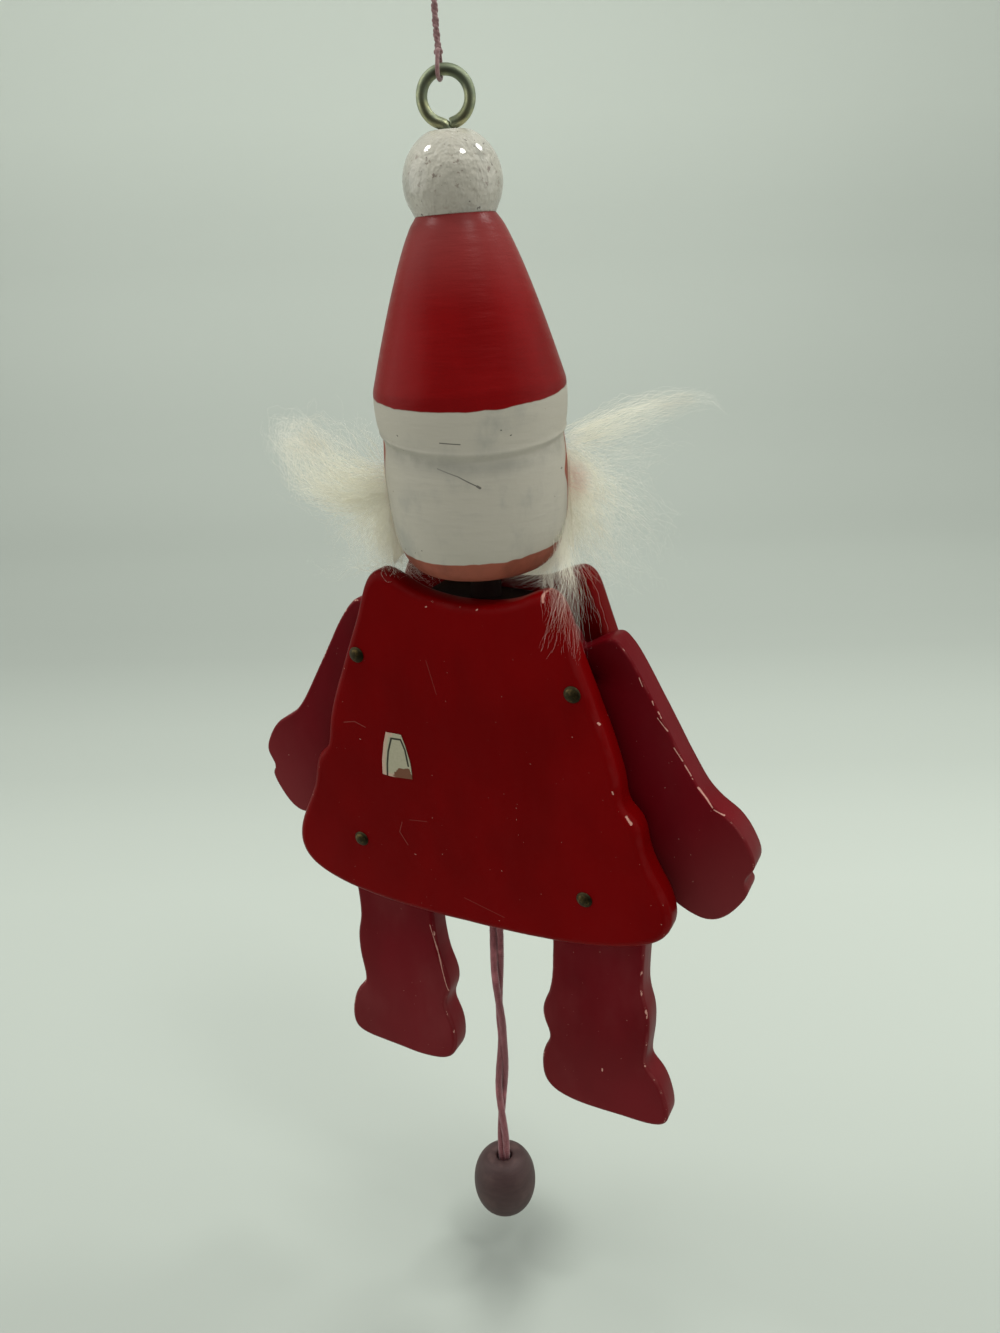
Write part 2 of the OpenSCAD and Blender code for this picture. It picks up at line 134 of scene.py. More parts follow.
def vector_sum(tree, operation, a, b=(0, 0, 0), scale=None):
    made = add(tree, "ShaderNodeVectorMath", {0: a, 1: b}, operation=operation)
    if scale is not None:
        if isinstance(scale, bpy.types.NodeSocket):
            tree.links.new(scale, made.inputs["Scale"])
        else:
            made.inputs["Scale"].default_value = scale
    return made.outputs["Value" if operation in ("DOT_PRODUCT", "LENGTH") else "Vector"]


def far_from(tree, place, point):
    return vector_sum(tree, "LENGTH", vector_sum(tree, "SUBTRACT", place, point))


def along_axis(tree, place, axis):
    return add(tree, "ShaderNodeSeparateXYZ", {0: place}).outputs[axis]


def mask(tree, value, start, end):
    ranged = {"Value": value, "From Min": start, "From Max": end}
    return add(tree, "ShaderNodeMapRange", ranged, interpolation_type="SMOOTHSTEP").outputs[0]


def colour(rgb):
    return (*rgb, 1.0)


def mixed(tree, factor, a, b):
    a = a if isinstance(a, bpy.types.NodeSocket) else colour(a)
    b = b if isinstance(b, bpy.types.NodeSocket) else colour(b)
    return add(tree, "ShaderNodeMix", {0: factor, 6: a, 7: b}, data_type="RGBA").outputs[2]


def cloud(tree, place, scale, stretch=(1, 1, 1), detail=3.0, rough=0.55):
    spot = add(tree, "ShaderNodeMapping", {"Vector": place, "Scale": stretch}).outputs[0]
    settings = {"Vector": spot, "Scale": scale, "Detail": detail, "Roughness": rough}
    return add(tree, "ShaderNodeTexNoise", settings).outputs[0]


def attribute(tree, name):
    return add(tree, "ShaderNodeAttribute", attribute_name=name).outputs["Fac"]


# %% A new finish starts from one shader and the object's own coordinates
def new_finish(name, **shader_values):
    material = bpy.data.materials.new(name)
    material.use_nodes = True
    tree = material.node_tree
    shader = next(n for n in tree.nodes if n.type == "BSDF_PRINCIPLED")
    for socket, value in shader_values.items():
        shader.inputs[socket.replace("_", " ")].default_value = value
    place = add(tree, "ShaderNodeTexCoord").outputs["Object"]
    return material, tree, shader, place


def feed(tree, shader, **values):
    """Links each value to the shader's socket of that name."""
    for socket, value in values.items():
        tree.links.new(value, shader.inputs[socket.replace("_", " ")])


def bumped(tree, shader, height, distance, strength=1.0):
    bump = add(tree, "ShaderNodeBump", {"Height": height, "Distance": distance, "Strength": strength})
    feed(tree, shader, Normal=bump.outputs[0])


# %% [markdown]
# ## Small helpers for meshes
# Every piece ends as a plain mesh whose object sits at the origin. It rides on a body of the
# imported model, is given its finish, and stands for the CAD nodes that it replaces. Its faces
# are shaded smooth, and its normals are turned outward.


# %% Helpers that finish a piece
def register(piece, body, material, nodes=()):
    piece.data.materials.clear()
    piece.data.materials.append(material)
    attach(piece, body)
    if nodes:
        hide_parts(*nodes)
    print(piece.name, len(piece.data.polygons), "faces")
    return piece


def object_of(name, mesh):
    made = bpy.data.objects.new(name, mesh)
    bpy.context.scene.collection.objects.link(made)
    return made


def mesh_of(name, points, faces, values=None, edges=()):
    mesh = bpy.data.meshes.new(name)
    mesh.from_pydata([tuple(p) for p in points], list(edges), faces)
    for label, numbers in (values or {}).items():
        mesh.attributes.new(label, "FLOAT", "POINT").data.foreach_set("value", numbers)
    if faces:
        shell = bmesh.new()
        shell.from_mesh(mesh)
        bmesh.ops.recalc_face_normals(shell, faces=shell.faces)
        shell.to_mesh(mesh)
        shell.free()
        mesh.shade_smooth()
    mesh.validate()
    return object_of(name, mesh)


def grid_faces(rows, columns, start=0):
    """Faces between neighbouring rows of points."""
    return [
        (a, a + 1, a + columns + 1, a + columns)
        for r in range(rows - 1) for a in range(start + r * columns, start + (r + 1) * columns - 1)
    ]


def ring_faces(rings, sides):
    """Faces between neighbouring rings of points, each closed on itself."""
    return [
        (r * sides + k, r * sides + (k + 1) % sides, (r + 1) * sides + (k + 1) % sides, (r + 1) * sides + k)
        for r in range(rings - 1) for k in range(sides)
    ]


def joined(name, parts):
    """One object from several, with their attributes."""
    for part in parts:
        part.select_set(True)
    bpy.context.view_layer.objects.active = parts[0]
    with bpy.context.temp_override(
        active_object=parts[0], selected_objects=parts, selected_editable_objects=parts
    ):
        bpy.ops.object.join()
    parts[0].name = parts[0].data.name = name
    parts[0].select_set(False)
    return parts[0]


# %% [markdown]
# A tube follows a list of points, such as the wire of the eye or the rope of a knot. Each ring
# of the tube stands square to the path. Its first direction is carried along from ring to
# ring, so that the tube doesn't twist.


# %% Sweep a tube along points
def tube(name, path, radii, sides=16, closed=False):
    path = [Vector(p) for p in path]
    count = len(path)
    radii = [radii] * count if isinstance(radii, (int, float)) else radii
    points, carried = [], None
    for i, p in enumerate(path):
        after = path[(i + 1) % count] if closed else path[min(i + 1, count - 1)]
        before = path[i - 1] if closed or i else path[0]
        along = (after - before).normalized()
        if carried is None:
            helper = Vector((0, 0, 1)) if abs(along.z) < 0.8 else Vector((1, 0, 0))
            carried = along.cross(helper).normalized()
        carried = (carried - along * carried.dot(along)).normalized()
        other = along.cross(carried)
        for k in range(sides):
            a = 2 * math.pi * k / sides
            points.append(p + radii[i] * (carried * math.cos(a) + other * math.sin(a)))
    faces = []
    shift = 0
    if closed:
        # The last ring meets the first one at the turn that lies nearest
        first, last = points[:sides], points[-sides:]
        shift = min(range(sides), key=lambda s: (last[0] - first[s]).length)
    for i in range(count if closed else count - 1):
        turn = shift if closed and i == count - 1 else 0
        for k in range(sides):
            a, b = i * sides + k, i * sides + (k + 1) % sides
            row = ((i + 1) % count) * sides
            faces.append((a, b, row + (k + 1 + turn) % sides, row + (k + turn) % sides))
    if not closed:
        for end, ring in ((path[0], 0), (path[-1], (count - 1) * sides)):
            points.append(end)
            faces += [(ring + k, ring + (k + 1) % sides, len(points) - 1) for k in range(sides)]
    return mesh_of(name, points, faces)


# %% [markdown]
# A lathe turns a profile of radius and height about an axis. Where the profile begins and
# ends at radius 0, the surface closes in one point. A profile that returns to its start makes
# a ring, such as the bored bead.


# %% Turn a profile on a lathe
def turned(name, profile, segments, place=Matrix.Identity(4), ring=False, values=None):
    points, rows, info = [], [], []
    for r, z in profile:
        if r < 1e-9:
            rows.append([len(points)])
            points.append(Vector((0, 0, z)))
            info.append((0.0, z))
            continue
        rows.append(list(range(len(points), len(points) + segments)))
        for k in range(segments):
            a = 2 * math.pi * k / segments
            points.append(Vector((r * math.sin(a), -r * math.cos(a), z)))
            info.append((a, z))
    faces = []
    for upper, lower in zip(rows, rows[1:] + (rows[:1] if ring else [])):
        for k in range(segments):
            n = (k + 1) % segments
            if len(upper) == 1 and len(lower) == 1:
                continue
            if len(upper) == 1:
                faces.append((upper[0], lower[k], lower[n]))
            elif len(lower) == 1:
                faces.append((upper[k], lower[0], upper[n]))
            else:
                faces.append((upper[k], lower[k], lower[n], upper[n]))
    numbers = {label: [f(p, a, z) for p, (a, z) in zip(points, info)] for label, f in (values or {}).items()}
    return mesh_of(name, [place @ p for p in points], faces, numbers)


def softened_profile(corners, reach, steps=4):
    """Rounds every inner corner of a profile by a short bend."""
    soft = [corners[0]]
    for before, here, after in zip(corners, corners[1:], corners[2:]):
        b, h, a = Vector(before), Vector(here), Vector(after)
        start = h + (b - h).normalized() * min(reach, (b - h).length * 0.45)
        end = h + (a - h).normalized() * min(reach, (a - h).length * 0.45)
        for k in range(steps + 1):
            t = k / steps
            soft.append(tuple(start * (1 - t) ** 2 + h * 2 * t * (1 - t) + end * t * t))
    return soft + [corners[-1]]


def finely(corners, spacing):
    """Adds points along a profile, so that a painted edge can be followed on it."""
    fine = [corners[0]]
    for a, b in zip(corners, corners[1:]):
        steps = max(1, math.ceil((Vector(b) - Vector(a)).length / spacing))
        fine += [tuple(Vector(a).lerp(Vector(b), k / steps)) for k in range(1, steps + 1)]
    return fine


# %% [markdown]
# ## Geometry Nodes for twine and wool
# Twine and wool both follow paths. A mesh of bare edges carries each path, and a tree turns
# it into a curve, copies it and moves each copy: in a helix for twine, at random for wool.
# The tree ends in Realize Instances and Set Material, and its result is kept as a plain mesh.


# %% Helpers for trees that grow pieces
def new_tree(name, sizes):
    tree = bpy.data.node_groups.new(name, "GeometryNodeTree")
    tree.interface.new_socket("Path", in_out="INPUT", socket_type="NodeSocketGeometry")
    for label, kind in sizes.items():
        tree.interface.new_socket(label, in_out="INPUT", socket_type=kind)
    tree.interface.new_socket("Piece", in_out="OUTPUT", socket_type="NodeSocketGeometry")
    given = tree.nodes.new("NodeGroupInput").outputs
    return tree, given


def end_tree(tree, mesh, material):
    smooth = add(tree, "GeometryNodeSetShadeSmooth", {"Geometry": mesh}).outputs[0]
    real = add(tree, "GeometryNodeRealizeInstances", {"Geometry": smooth}).outputs[0]
    painted = add(tree, "GeometryNodeSetMaterial", {"Geometry": real, "Material": material})
    tree.links.new(painted.outputs[0], tree.nodes.new("NodeGroupOutput").inputs[0])


def grown(name, carrier, tree, sizes):
    """The plain mesh that a tree makes of a carrier, which is then thrown away."""
    modifier = carrier.modifiers.new("grow", "NODES")
    modifier.node_group = tree
    for item in tree.interface.items_tree:
        if item.in_out == "INPUT" and item.name in sizes:
            modifier[item.identifier] = sizes[item.name]
    seen = bpy.context.evaluated_depsgraph_get()
    mesh = bpy.data.meshes.new_from_object(carrier.evaluated_get(seen), depsgraph=seen)
    mesh.name = name
    bpy.data.objects.remove(carrier)
    return object_of(name, mesh)


def carrier_of(name, paths, values=None):
    points, edges = [], []
    for path in paths:
        edges += [(len(points) + i, len(points) + i + 1) for i in range(len(path) - 1)]
        points += path
    return mesh_of(name, points, [], values, edges)


# %% [markdown]
# ## The red twine
# The pull string is one cord doubled over, and both halves are loosely twisted round each
# other. Each half is itself spun from plies. The finish therefore shows fine slanting fibres,
# and is dusty pink where the dye has worn.


# %% The finish of the twine
def twine_finish(name, dark, light):
    material, tree, shader, place = new_finish(
        name, Roughness=0.85, Sheen_Weight=0.35, Sheen_Roughness=0.5, Specular_IOR_Level=0.25,
    )
    fibres = cloud(tree, place, 2600, (1, 1, 0.35), 2.0)
    patches = cloud(tree, place, 160, (1, 1, 1), 2.0)
    tone = mixed(tree, mask(tree, fibres, 0.35, 0.68), dark, light)
    worn = mixed(tree, mask(tree, patches, 0.55, 0.75), tone, tuple(1.5 * c + 0.02 for c in light))
    feed(tree, shader, Base_Color=worn)
    bumped(tree, shader, fibres, 0.00012, 0.8)
    return material


pull_finish = twine_finish("red_pull_twine", (0.142, 0.031, 0.037), (0.195, 0.053, 0.060))
hang_finish = twine_finish("red_hanging_twine", (0.14, 0.065, 0.065), (0.235, 0.135, 0.13))

# %% [markdown]
# The tree for twine copies the path for each ply of each of its two halves. A copy moves off
# the path by two turning vectors, a wide one for its half and a small one for its ply. The
# curve's normal and tangent give the directions across the path.


# %% The tree that twists twine
def twine_tree(name, material, plies):
    sizes = {
        "Half radius": "NodeSocketFloat", "Ply radius": "NodeSocketFloat",
        "Half turns": "NodeSocketFloat", "Ply turns": "NodeSocketFloat",
        "Thread": "NodeSocketFloat", "Points": "NodeSocketInt",
    }
    tree, given = new_tree(name, sizes)
    curve = add(tree, "GeometryNodeMeshToCurve", {"Mesh": given["Path"]}).outputs[0]
    smooth = add(tree, "GeometryNodeCurveSplineType", {"Curve": curve}, spline_type="CATMULL_ROM")
    curve = add(tree, "GeometryNodeResampleCurve", {"Curve": smooth.outputs[0], "Count": given["Points"]})
    wide = add(tree, "GeometryNodeInputNamedAttribute", {"Name": "wide"}, data_type="FLOAT")
    copies = add(
        tree, "GeometryNodeDuplicateElements",
        {"Geometry": curve.outputs[0], "Amount": 2 * plies}, domain="SPLINE",
    )
    number = copies.outputs["Duplicate Index"]
    half = sum_of(tree, "FLOOR", sum_of(tree, "DIVIDE", number, float(plies)))
    ply = sum_of(tree, "MODULO", number, float(plies))
    ply = times(tree, ply, 2.0 / plies)
    along = add(tree, "GeometryNodeSplineParameter").outputs["Factor"]
    normal = add(tree, "GeometryNodeInputNormal").outputs[0]
    tangent = add(tree, "GeometryNodeInputTangent").outputs[0]
    across = vector_sum(tree, "CROSS_PRODUCT", normal, tangent)

    def helix(turns, member, radius):
        turned_by = times(tree, times(tree, along, turns), math.tau)
        angle = sum_of(tree, "ADD", turned_by, times(tree, member, math.pi))
        one = vector_sum(tree, "SCALE", normal, scale=sum_of(tree, "COSINE", angle))
        two = vector_sum(tree, "SCALE", across, scale=sum_of(tree, "SINE", angle))
        return vector_sum(tree, "SCALE", vector_sum(tree, "ADD", one, two), scale=radius)

    loose = times(tree, given["Half radius"], wide.outputs[0])
    move = vector_sum(
        tree, "ADD",
        helix(given["Half turns"], half, loose), helix(given["Ply turns"], ply, given["Ply radius"]),
    )
    moved = add(tree, "GeometryNodeSetPosition", {"Geometry": copies.outputs[0], "Offset": move})
    ring = add(tree, "GeometryNodeCurvePrimitiveCircle", {"Resolution": 8, "Radius": given["Thread"]})
    mesh = add(
        tree, "GeometryNodeCurveToMesh",
        {"Curve": moved.outputs[0], "Profile Curve": ring.outputs[0], "Fill Caps": True},
    )
    end_tree(tree, mesh.outputs[0], material)
    return tree


def millimetres(points, origin=(0, 0, 0)):
    return [tuple((a + b) * MM for a, b in zip(p, origin)) for p in points]


# %% [markdown]
# ## The pull string
# It starts where it is tied to the arms' cross string, passes the legs' cross string and
# leaves the coat at the hem. It then hangs 77 mm down to the bead. Its two halves gape a
# little below the hem and again above the bead, and draw together between. The photograph
# shows it from the hem to the bead, and the rest follows from where it is tied.

# %% The pull string's path and its two twisted halves
COAT_X, COAT_TOP = -4.1, -80.2745
pull_route = [
    (0, 0, -14.449), (0, 0, -21), (0, 0, -28), (0, 0, -35), (0, 0, -42), (0, 0, -49),
    (-0.1, 0, -56), (-0.2, 0, -63), (-0.3, 0, -70), (-0.4, 0, -77), (-0.5, 0, -84),
    (-0.5, 0.1, -91), (-0.5, 0.2, -98), (-0.7, 0.2, -105), (-1, 0.1, -111), (-1.2, 0, -116),
    (-1.1, -0.1, -121), (-0.8, -0.1, -127), (-0.5, 0, -133), (-0.5, 0, -140), (-0.6, 0, -147),
    (-0.7, 0, -154), (-0.7, 0, -161), (-0.7, 0, -173.45),
]
pull_path = millimetres(pull_route, (COAT_X, 0, COAT_TOP))
# How far the halves gape at each point of the path
gape = [1, 1, 1, 1, 1, 1, 1, 1, 1, 1, 1, 1, 1.15, 1.1, 0.8, 0.4, 0.6, 1.0, 1.3, 1.35, 1.2, 0.8, 0.55, 0.5]
pull_tree = twine_tree("twisted_pull_twine", pull_finish, 3)
pull_sizes = {
    "Half radius": 0.76 * MM, "Ply radius": 0.37 * MM, "Half turns": 2.31, "Ply turns": 84.0,
    "Thread": 0.52 * MM, "Points": 700,
}
pull_carrier = carrier_of("pull_carrier", [pull_path], {"wide": gape})
pull_string = grown("pull_twine", pull_carrier, pull_tree, pull_sizes)
register(pull_string, "pull", pull_finish, ["pull_string"])

# %% [markdown]
# ## The hanging string
# A finer twine goes up from the eye, out of the picture, to the knot that it hangs by. It is
# pulled straight by the figure's weight. Its foot is looped round the wire of the ring, which
# is a closed tube of its own, with a small hitch where the loop closes.

# %% The hanging string, its loop and its hitch
hang_route = [
    (0.8, 0.4, 6.6), (1.1, 0.3, 9), (1.3, 0.2, 12), (1.4, 0.1, 15), (1.4, 0, 18), (1.3, 0, 21),
    (1.2, 0, 24), (1.1, 0, 27), (1, 0, 30), (1, 0, 33), (1, 0, 36), (1, 0, 40),
]
hang_path = millimetres(hang_route)
hang_tree = twine_tree("twisted_hanging_twine", hang_finish, 2)
hang_sizes = {
    "Half radius": 0.16 * MM, "Ply radius": 0.15 * MM, "Half turns": 9.0, "Ply turns": 24.0,
    "Thread": 0.30 * MM, "Points": 300,
}
hang_carrier = carrier_of("hang_carrier", [hang_path], {"wide": [1.0] * len(hang_path)})
hanging_string = grown("hanging_twine", hang_carrier, hang_tree, hang_sizes)
register(hanging_string, "figure", hang_finish, ["hanging_string"])

RING_TURN = math.radians(27)
RING_R, WIRE_R = 4.0, 0.95
loop_path = []
for step in range(40):
    a = math.tau * step / 40
    from_top = a if a < math.pi else a - math.tau
    lift = 1.5 * math.cos(1.5 * from_top) if abs(from_top) < 1.05 else 0
    point = Vector((0.25 * math.sin(a), 1.45 * math.sin(a), 1.4 * math.cos(a) + lift))
    loop_path.append((Matrix.Rotation(RING_TURN, 3, "Z") @ point + Vector((0.8, 0.4, 3.9))) * MM)
hanging_loop = tube("hanging_loop", loop_path, 0.36 * MM, 12, closed=True)
register(hanging_loop, "figure", hang_finish)


def knot(name, centre, reach, thickness, tilt):
    """A trefoil of rope, drawn tight."""
    path = []
    for step in range(90):
        t = math.tau * step / 90
        p = Vector((
            math.sin(t) + 2 * math.sin(2 * t), math.cos(t) - 2 * math.cos(2 * t), -1.3 * math.sin(3 * t),
        ))
        path.append(Vector(centre) * MM + tilt @ p * reach / 3 * MM)
    return tube(name, path, thickness * MM, 10, closed=True)


upright = Matrix.Rotation(math.radians(80), 3, "X") @ Matrix.Rotation(math.radians(20), 3, "Y")
hanging_hitch = knot("hanging_hitch", (0.82, 0.4, 6.3), reach=0.5, thickness=0.3, tilt=upright)
register(hanging_hitch, "figure", hang_finish)
hanging_knot = knot("hanging_end_knot", (1, 0, 41.08), reach=0.95, thickness=0.47, tilt=upright)
register(hanging_knot, "figure", hang_finish, ["hanging_knot"])

# %% [markdown]
# ## The bead and its knot
# The bead is turned hardwood with a dark stain that has gone matt. It is a barrel with a
# bore, so its profile runs down the outside and back up through the hole. The knot under it
# is too big for the bore, and keeps it on the string.


# %% The stained bead
def bead_finish():
    material, tree, shader, place = new_finish(
        "dark_stained_bead", Roughness=0.6, Specular_IOR_Level=0.35,
    )
    lines = cloud(tree, place, 900, (0.25, 0.25, 1.6), 3.0)
    blotches = cloud(tree, place, 190, (1, 1, 1), 3.0)
    tone = mixed(tree, mask(tree, lines, 0.3, 0.7), (0.044, 0.021, 0.0205), (0.054, 0.027, 0.026))
    tone = mixed(tree, mask(tree, blotches, 0.5, 0.75), tone, (0.070, 0.038, 0.034))
    worn = times(tree, attribute(tree, "rim"), mask(tree, blotches, 0.42, 0.56))
    tone = mixed(tree, times(tree, worn, 0.5), tone, (0.10, 0.055, 0.05))
    feed(tree, shader, Base_Color=tone)
    feed(tree, shader, Roughness=times_plus(tree, blotches, 0.25, 0.45))
    bumped(tree, shader, lines, 0.00001, 0.4)
    return material


BEAD_R, BEAD_HALF, BORE_R, BEAD_Z = 7.75, 8.4, 1.9, -242.92
BEAD_X, BEAD_END_R = -4.8, 2.75
outside = []
for step in range(41):
    a = math.pi * (0.5 - step / 40)
    belly = math.cos(a) ** 0.92 if abs(a) < 1.57 else 0
    outside.append((BEAD_END_R + (BEAD_R - BEAD_END_R) * belly, BEAD_HALF * math.sin(a)))
bore = [(2.35, -BEAD_HALF - 0.02), (2.0, -BEAD_HALF + 0.25), (BORE_R, -BEAD_HALF + 0.7)]
bore += [(BORE_R, z) for z in (-5, -2.5, 0, 2.5, 5)]
bore += [(BORE_R, BEAD_HALF - 0.7), (2.0, BEAD_HALF - 0.25), (2.35, BEAD_HALF + 0.02)]
bead_profile = [(r * MM, z * MM) for r, z in outside + bore]
bead_place = Matrix.Translation(Vector((BEAD_X, 0, BEAD_Z)) * MM)
rims = {"rim": lambda p, a, z: 1.0 if abs(z) > 8.0 * MM else 0.0}
bead_stain = bead_finish()
bead = turned("turned_bead", bead_profile, 72, bead_place, ring=True, values=rims)
register(bead, "pull", bead_stain, ["pull_bead"])

knot_lies = Matrix.Rotation(math.radians(12), 3, "X")
bead_knot = knot("bead_stop_knot", (BEAD_X, 0, -253.75), reach=1.35, thickness=0.68, tilt=knot_lies)
register(bead_knot, "pull", pull_finish, ["bead_knot"])

# %% [markdown]
# ## The stage
# The figure hangs in front of a pale sweep of paper, just above its floor. The sweep is one
# surface: a floor, a wide bend and a wall. What the camera and shiny surfaces see is a soft
# grey green whose light is painted in: brightest on the floor and dimmest at the bend, with a
# painted shadow under the bead. Part of it is a glow and part is lit paper, so that the
# figure's shadow still falls on it.

# %% Bend a sheet of paper behind the figure
FLOOR = -0.266
VIEW_AHEAD = Vector((-CAMERA_BACK.x, -CAMERA_BACK.y, 0)).normalized()
VIEW_ASIDE = Vector((CAMERA_RIGHT.x, CAMERA_RIGHT.y, 0)).normalized()
BEND_START, BEND_R = 0.85, 0.35
# How bright the paper looks at each distance from the camera's foot along the sheet
paper_tones = [
    (-0.6, 0.27), (0.0, 0.28), (0.17, 0.295), (0.23, 0.325), (0.35, 0.335), (0.48, 0.292), (0.62, 0.256),
    (0.84, 0.282), (1.03, 0.306), (1.25, 0.352), (1.45, 0.43), (1.9, 0.46), (3.0, 0.46),
]


def paper_tone(reach):
    for (a, low), (b, high) in zip(paper_tones, paper_tones[1:]):
        if reach <= b:
            t = max(0.0, (reach - a) / (b - a))
            return low + (high - low) * t * t * (3 - 2 * t)
    return paper_tones[-1][1]


def sweep_section():
    section = [(x / 20, 0.0, x / 20) for x in range(-12, 17)]
    for step in range(13):
        a = math.pi / 2 * step / 12
        section.append(
            (BEND_START + BEND_R * math.sin(a), BEND_R * (1 - math.cos(a)), BEND_START + BEND_R * a)
        )
    top = section[-1]
    return section + [(top[0], top[1] + h / 10, top[2] + h / 10) for h in range(1, 9)]


section = sweep_section()
foot = Vector((CAMERA_PLACE.x, CAMERA_PLACE.y, FLOOR))
sheet_points, sheet_tones, sheet_rooms, columns = [], [], [], 33
for ahead, height, reach in section:
    for column in range(columns):
        aside = -1.4 + 2.8 * column / (columns - 1)
        sheet_points.append(foot + VIEW_AHEAD * ahead + VIEW_ASIDE * aside + Vector((0, 0, height)))
        # The floor is painted a little brighter on the right, and the wall on the left, as light falls there
        lean = 0.04 - 0.08 * min(1.0, max(0.0, (reach - 0.6) / 0.6))
        share = max(-1.0, min(1.0, aside / (0.12 + 0.24 * max(0.0, reach))))
        sheet_tones.append(paper_tone(reach) * (1 + lean * share))
        sheet_rooms.append(min(1.0, max(0.04, (reach - 0.02) / 0.1)))
sheet_faces = grid_faces(len(section), columns)
backdrop = mesh_of("paper_sweep", sheet_points, sheet_faces, {"tone": sheet_tones, "room": sheet_rooms})


# The paper's tint as it is seen, and its plain grey for the light that it throws back
PAPER_TINT, PAPER_GREY = (1.0, 1.10, 0.99), (0.50, 0.52, 0.49)


def paper_finish():
    material = bpy.data.materials.new("pale_paper")
    material.use_nodes = True
    tree = material.node_tree
    tree.nodes.clear()
    rays = add(tree, "ShaderNodeLightPath").outputs
    seen = sum_of(tree, "MAXIMUM", rays["Is Camera Ray"], rays["Is Glossy Ray"])
    seen = sum_of(tree, "MAXIMUM", seen, rays["Is Transmission Ray"])
    place = add(tree, "ShaderNodeTexCoord").outputs["Object"]
    uneven = times_plus(tree, cloud(tree, place, 2.2, (1, 1, 1), 1.0), 0.06, 0.97)
    tone = times(tree, attribute(tree, "tone"), uneven)
    # In shiny surfaces the paper by the camera's foot is painted dark, a painted reflection of the dim room
    # behind the camera
    dim_room = sum_of(tree, "SUBTRACT", 1.0, attribute(tree, "room"))
    dimmed = times_plus(tree, times(tree, rays["Is Glossy Ray"], dim_room), -1.0, 1.0)
    tone = times(tree, tone, dimmed)
    # The paper just under the bead is painted darker, a painted shadow, as the bead hangs so low
    far = far_from(tree, place, (BEAD_X * MM, 0, FLOOR))
    under = mask(tree, far, 22 * MM, 1 * MM)
    tone = times(tree, tone, times_plus(tree, under, -0.38, 1.0))
    tint = vector_sum(tree, "SCALE", PAPER_TINT, scale=tone)
    glow = add(tree, "ShaderNodeEmission", {"Color": tint, "Strength": 0.2}).outputs[0]
    lit = add(tree, "ShaderNodeBsdfDiffuse", {"Color": tint}).outputs[0]
    shown = add(tree, "ShaderNodeAddShader", {0: glow, 1: lit}).outputs[0]
    plain = add(tree, "ShaderNodeBsdfDiffuse", {"Color": colour(PAPER_GREY)}).outputs[0]
    both = add(tree, "ShaderNodeMixShader", {0: seen, 1: plain, 2: shown}).outputs[0]
    output = add(tree, "ShaderNodeOutputMaterial")
    tree.links.new(both, output.inputs["Surface"])
    return material


backdrop.data.materials.append(paper_finish())

# %% [markdown]
# ## The light
# The light is soft and even, as in a small white tent. Most of it comes from the world. Two
# large lamps at the sides give the turned pieces their pale edges, and three small ones above
# give the glossy ball its bright spots. One lamp overhead puts a shadow under the bead, and
# one behind the figure shines through the wool. Neither of these two shows in the gloss. The
# room behind the camera is dimmer, and that is what the flat coat and the middle of the hat
# reflect, so their reds stay deep. The Standard view transform shows each colour as it is
# written, where the default one would dull the reds.


# %% Light the world and hang the lamps
TENT, MIDDLE = (0.50, 0.555, 0.49), (-0.004, 0, -0.12)


def light_world(level, dim_level):
    world = bpy.data.worlds.new("soft_tent")
    bpy.context.scene.world = world
    world.use_nodes = True
    tree = world.node_tree
    tree.nodes.clear()
    rays = add(tree, "ShaderNodeLightPath").outputs
    way = add(tree, "ShaderNodeTexCoord").outputs["Generated"]
    room = vector_sum(tree, "DOT_PRODUCT", way, (-VIEW_AHEAD.x, -VIEW_AHEAD.y, -0.25))
    dim = mask(tree, room, 0.15, 0.8)
    glossy = mixed(tree, dim, TENT, (dim_level, dim_level, dim_level))
    seen = sum_of(tree, "MAXIMUM", rays["Is Camera Ray"], rays["Is Transmission Ray"])
    lit = mixed(tree, rays["Is Glossy Ray"], (level, level, level * 0.97), glossy)
    shown = mixed(tree, seen, lit, TENT)
    background = add(tree, "ShaderNodeBackground", {"Color": shown}).outputs[0]
    output = add(tree, "ShaderNodeOutputWorld")
    tree.links.new(background, output.inputs["Surface"])


def lamp(name, place, size, power, in_gloss=True):
    """A round lamp that is aimed at the figure's middle."""
    data = bpy.data.lights.new(name, "AREA")
    data.shape = "DISK"
    data.size = size
    data.energy = power
    data.color = (1.0, 1.0, 0.97)
    made = bpy.data.objects.new(name, data)
    bpy.context.scene.collection.objects.link(made)
    made.location = place
    made.visible_glossy = in_gloss
    made.rotation_euler = (Vector(MIDDLE) - Vector(place)).to_track_quat("-Z", "Y").to_euler()


bpy.context.scene.view_settings.view_transform = "Standard"
light_world(level=0.68, dim_level=0.02)
lamp("lamp_ceiling_left", (0.46, 0.15, 0.61), 0.15, 1.5)
lamp("lamp_ceiling_middle", (-0.37, 0.12, 0.64), 0.15, 1.5)
lamp("lamp_ceiling_right", (-0.33, -0.41, 0.55), 0.15, 1.5)
lamp("lamp_overhead", (0.0, -0.02, 0.78), 0.2, 2.2, in_gloss=False)
lamp("lamp_behind", (0.20, -0.55, 0.60), 0.4, 4.0, in_gloss=False)
lamp("lamp_photo_left", tuple(-0.9 * VIEW_ASIDE + Vector((0, 0.05, 0.1))), 1.0, 2.4)
lamp("lamp_photo_right", tuple(0.9 * VIEW_ASIDE + Vector((0, 0.05, 0.05))), 1.0, 1.6)

# %% [markdown]
# ## The boards
# The coat's panels, the arms and the legs were sawn from board and sanded round at the edges,
# and thick paint rounds them further. The outline of each comes from a cut through the packed
# solid's middle. It is then built up of rings: the flat, the rounding, the sawn side, and the
# same again. Each ring carries how much it wears, so the finish can chip along the edges.


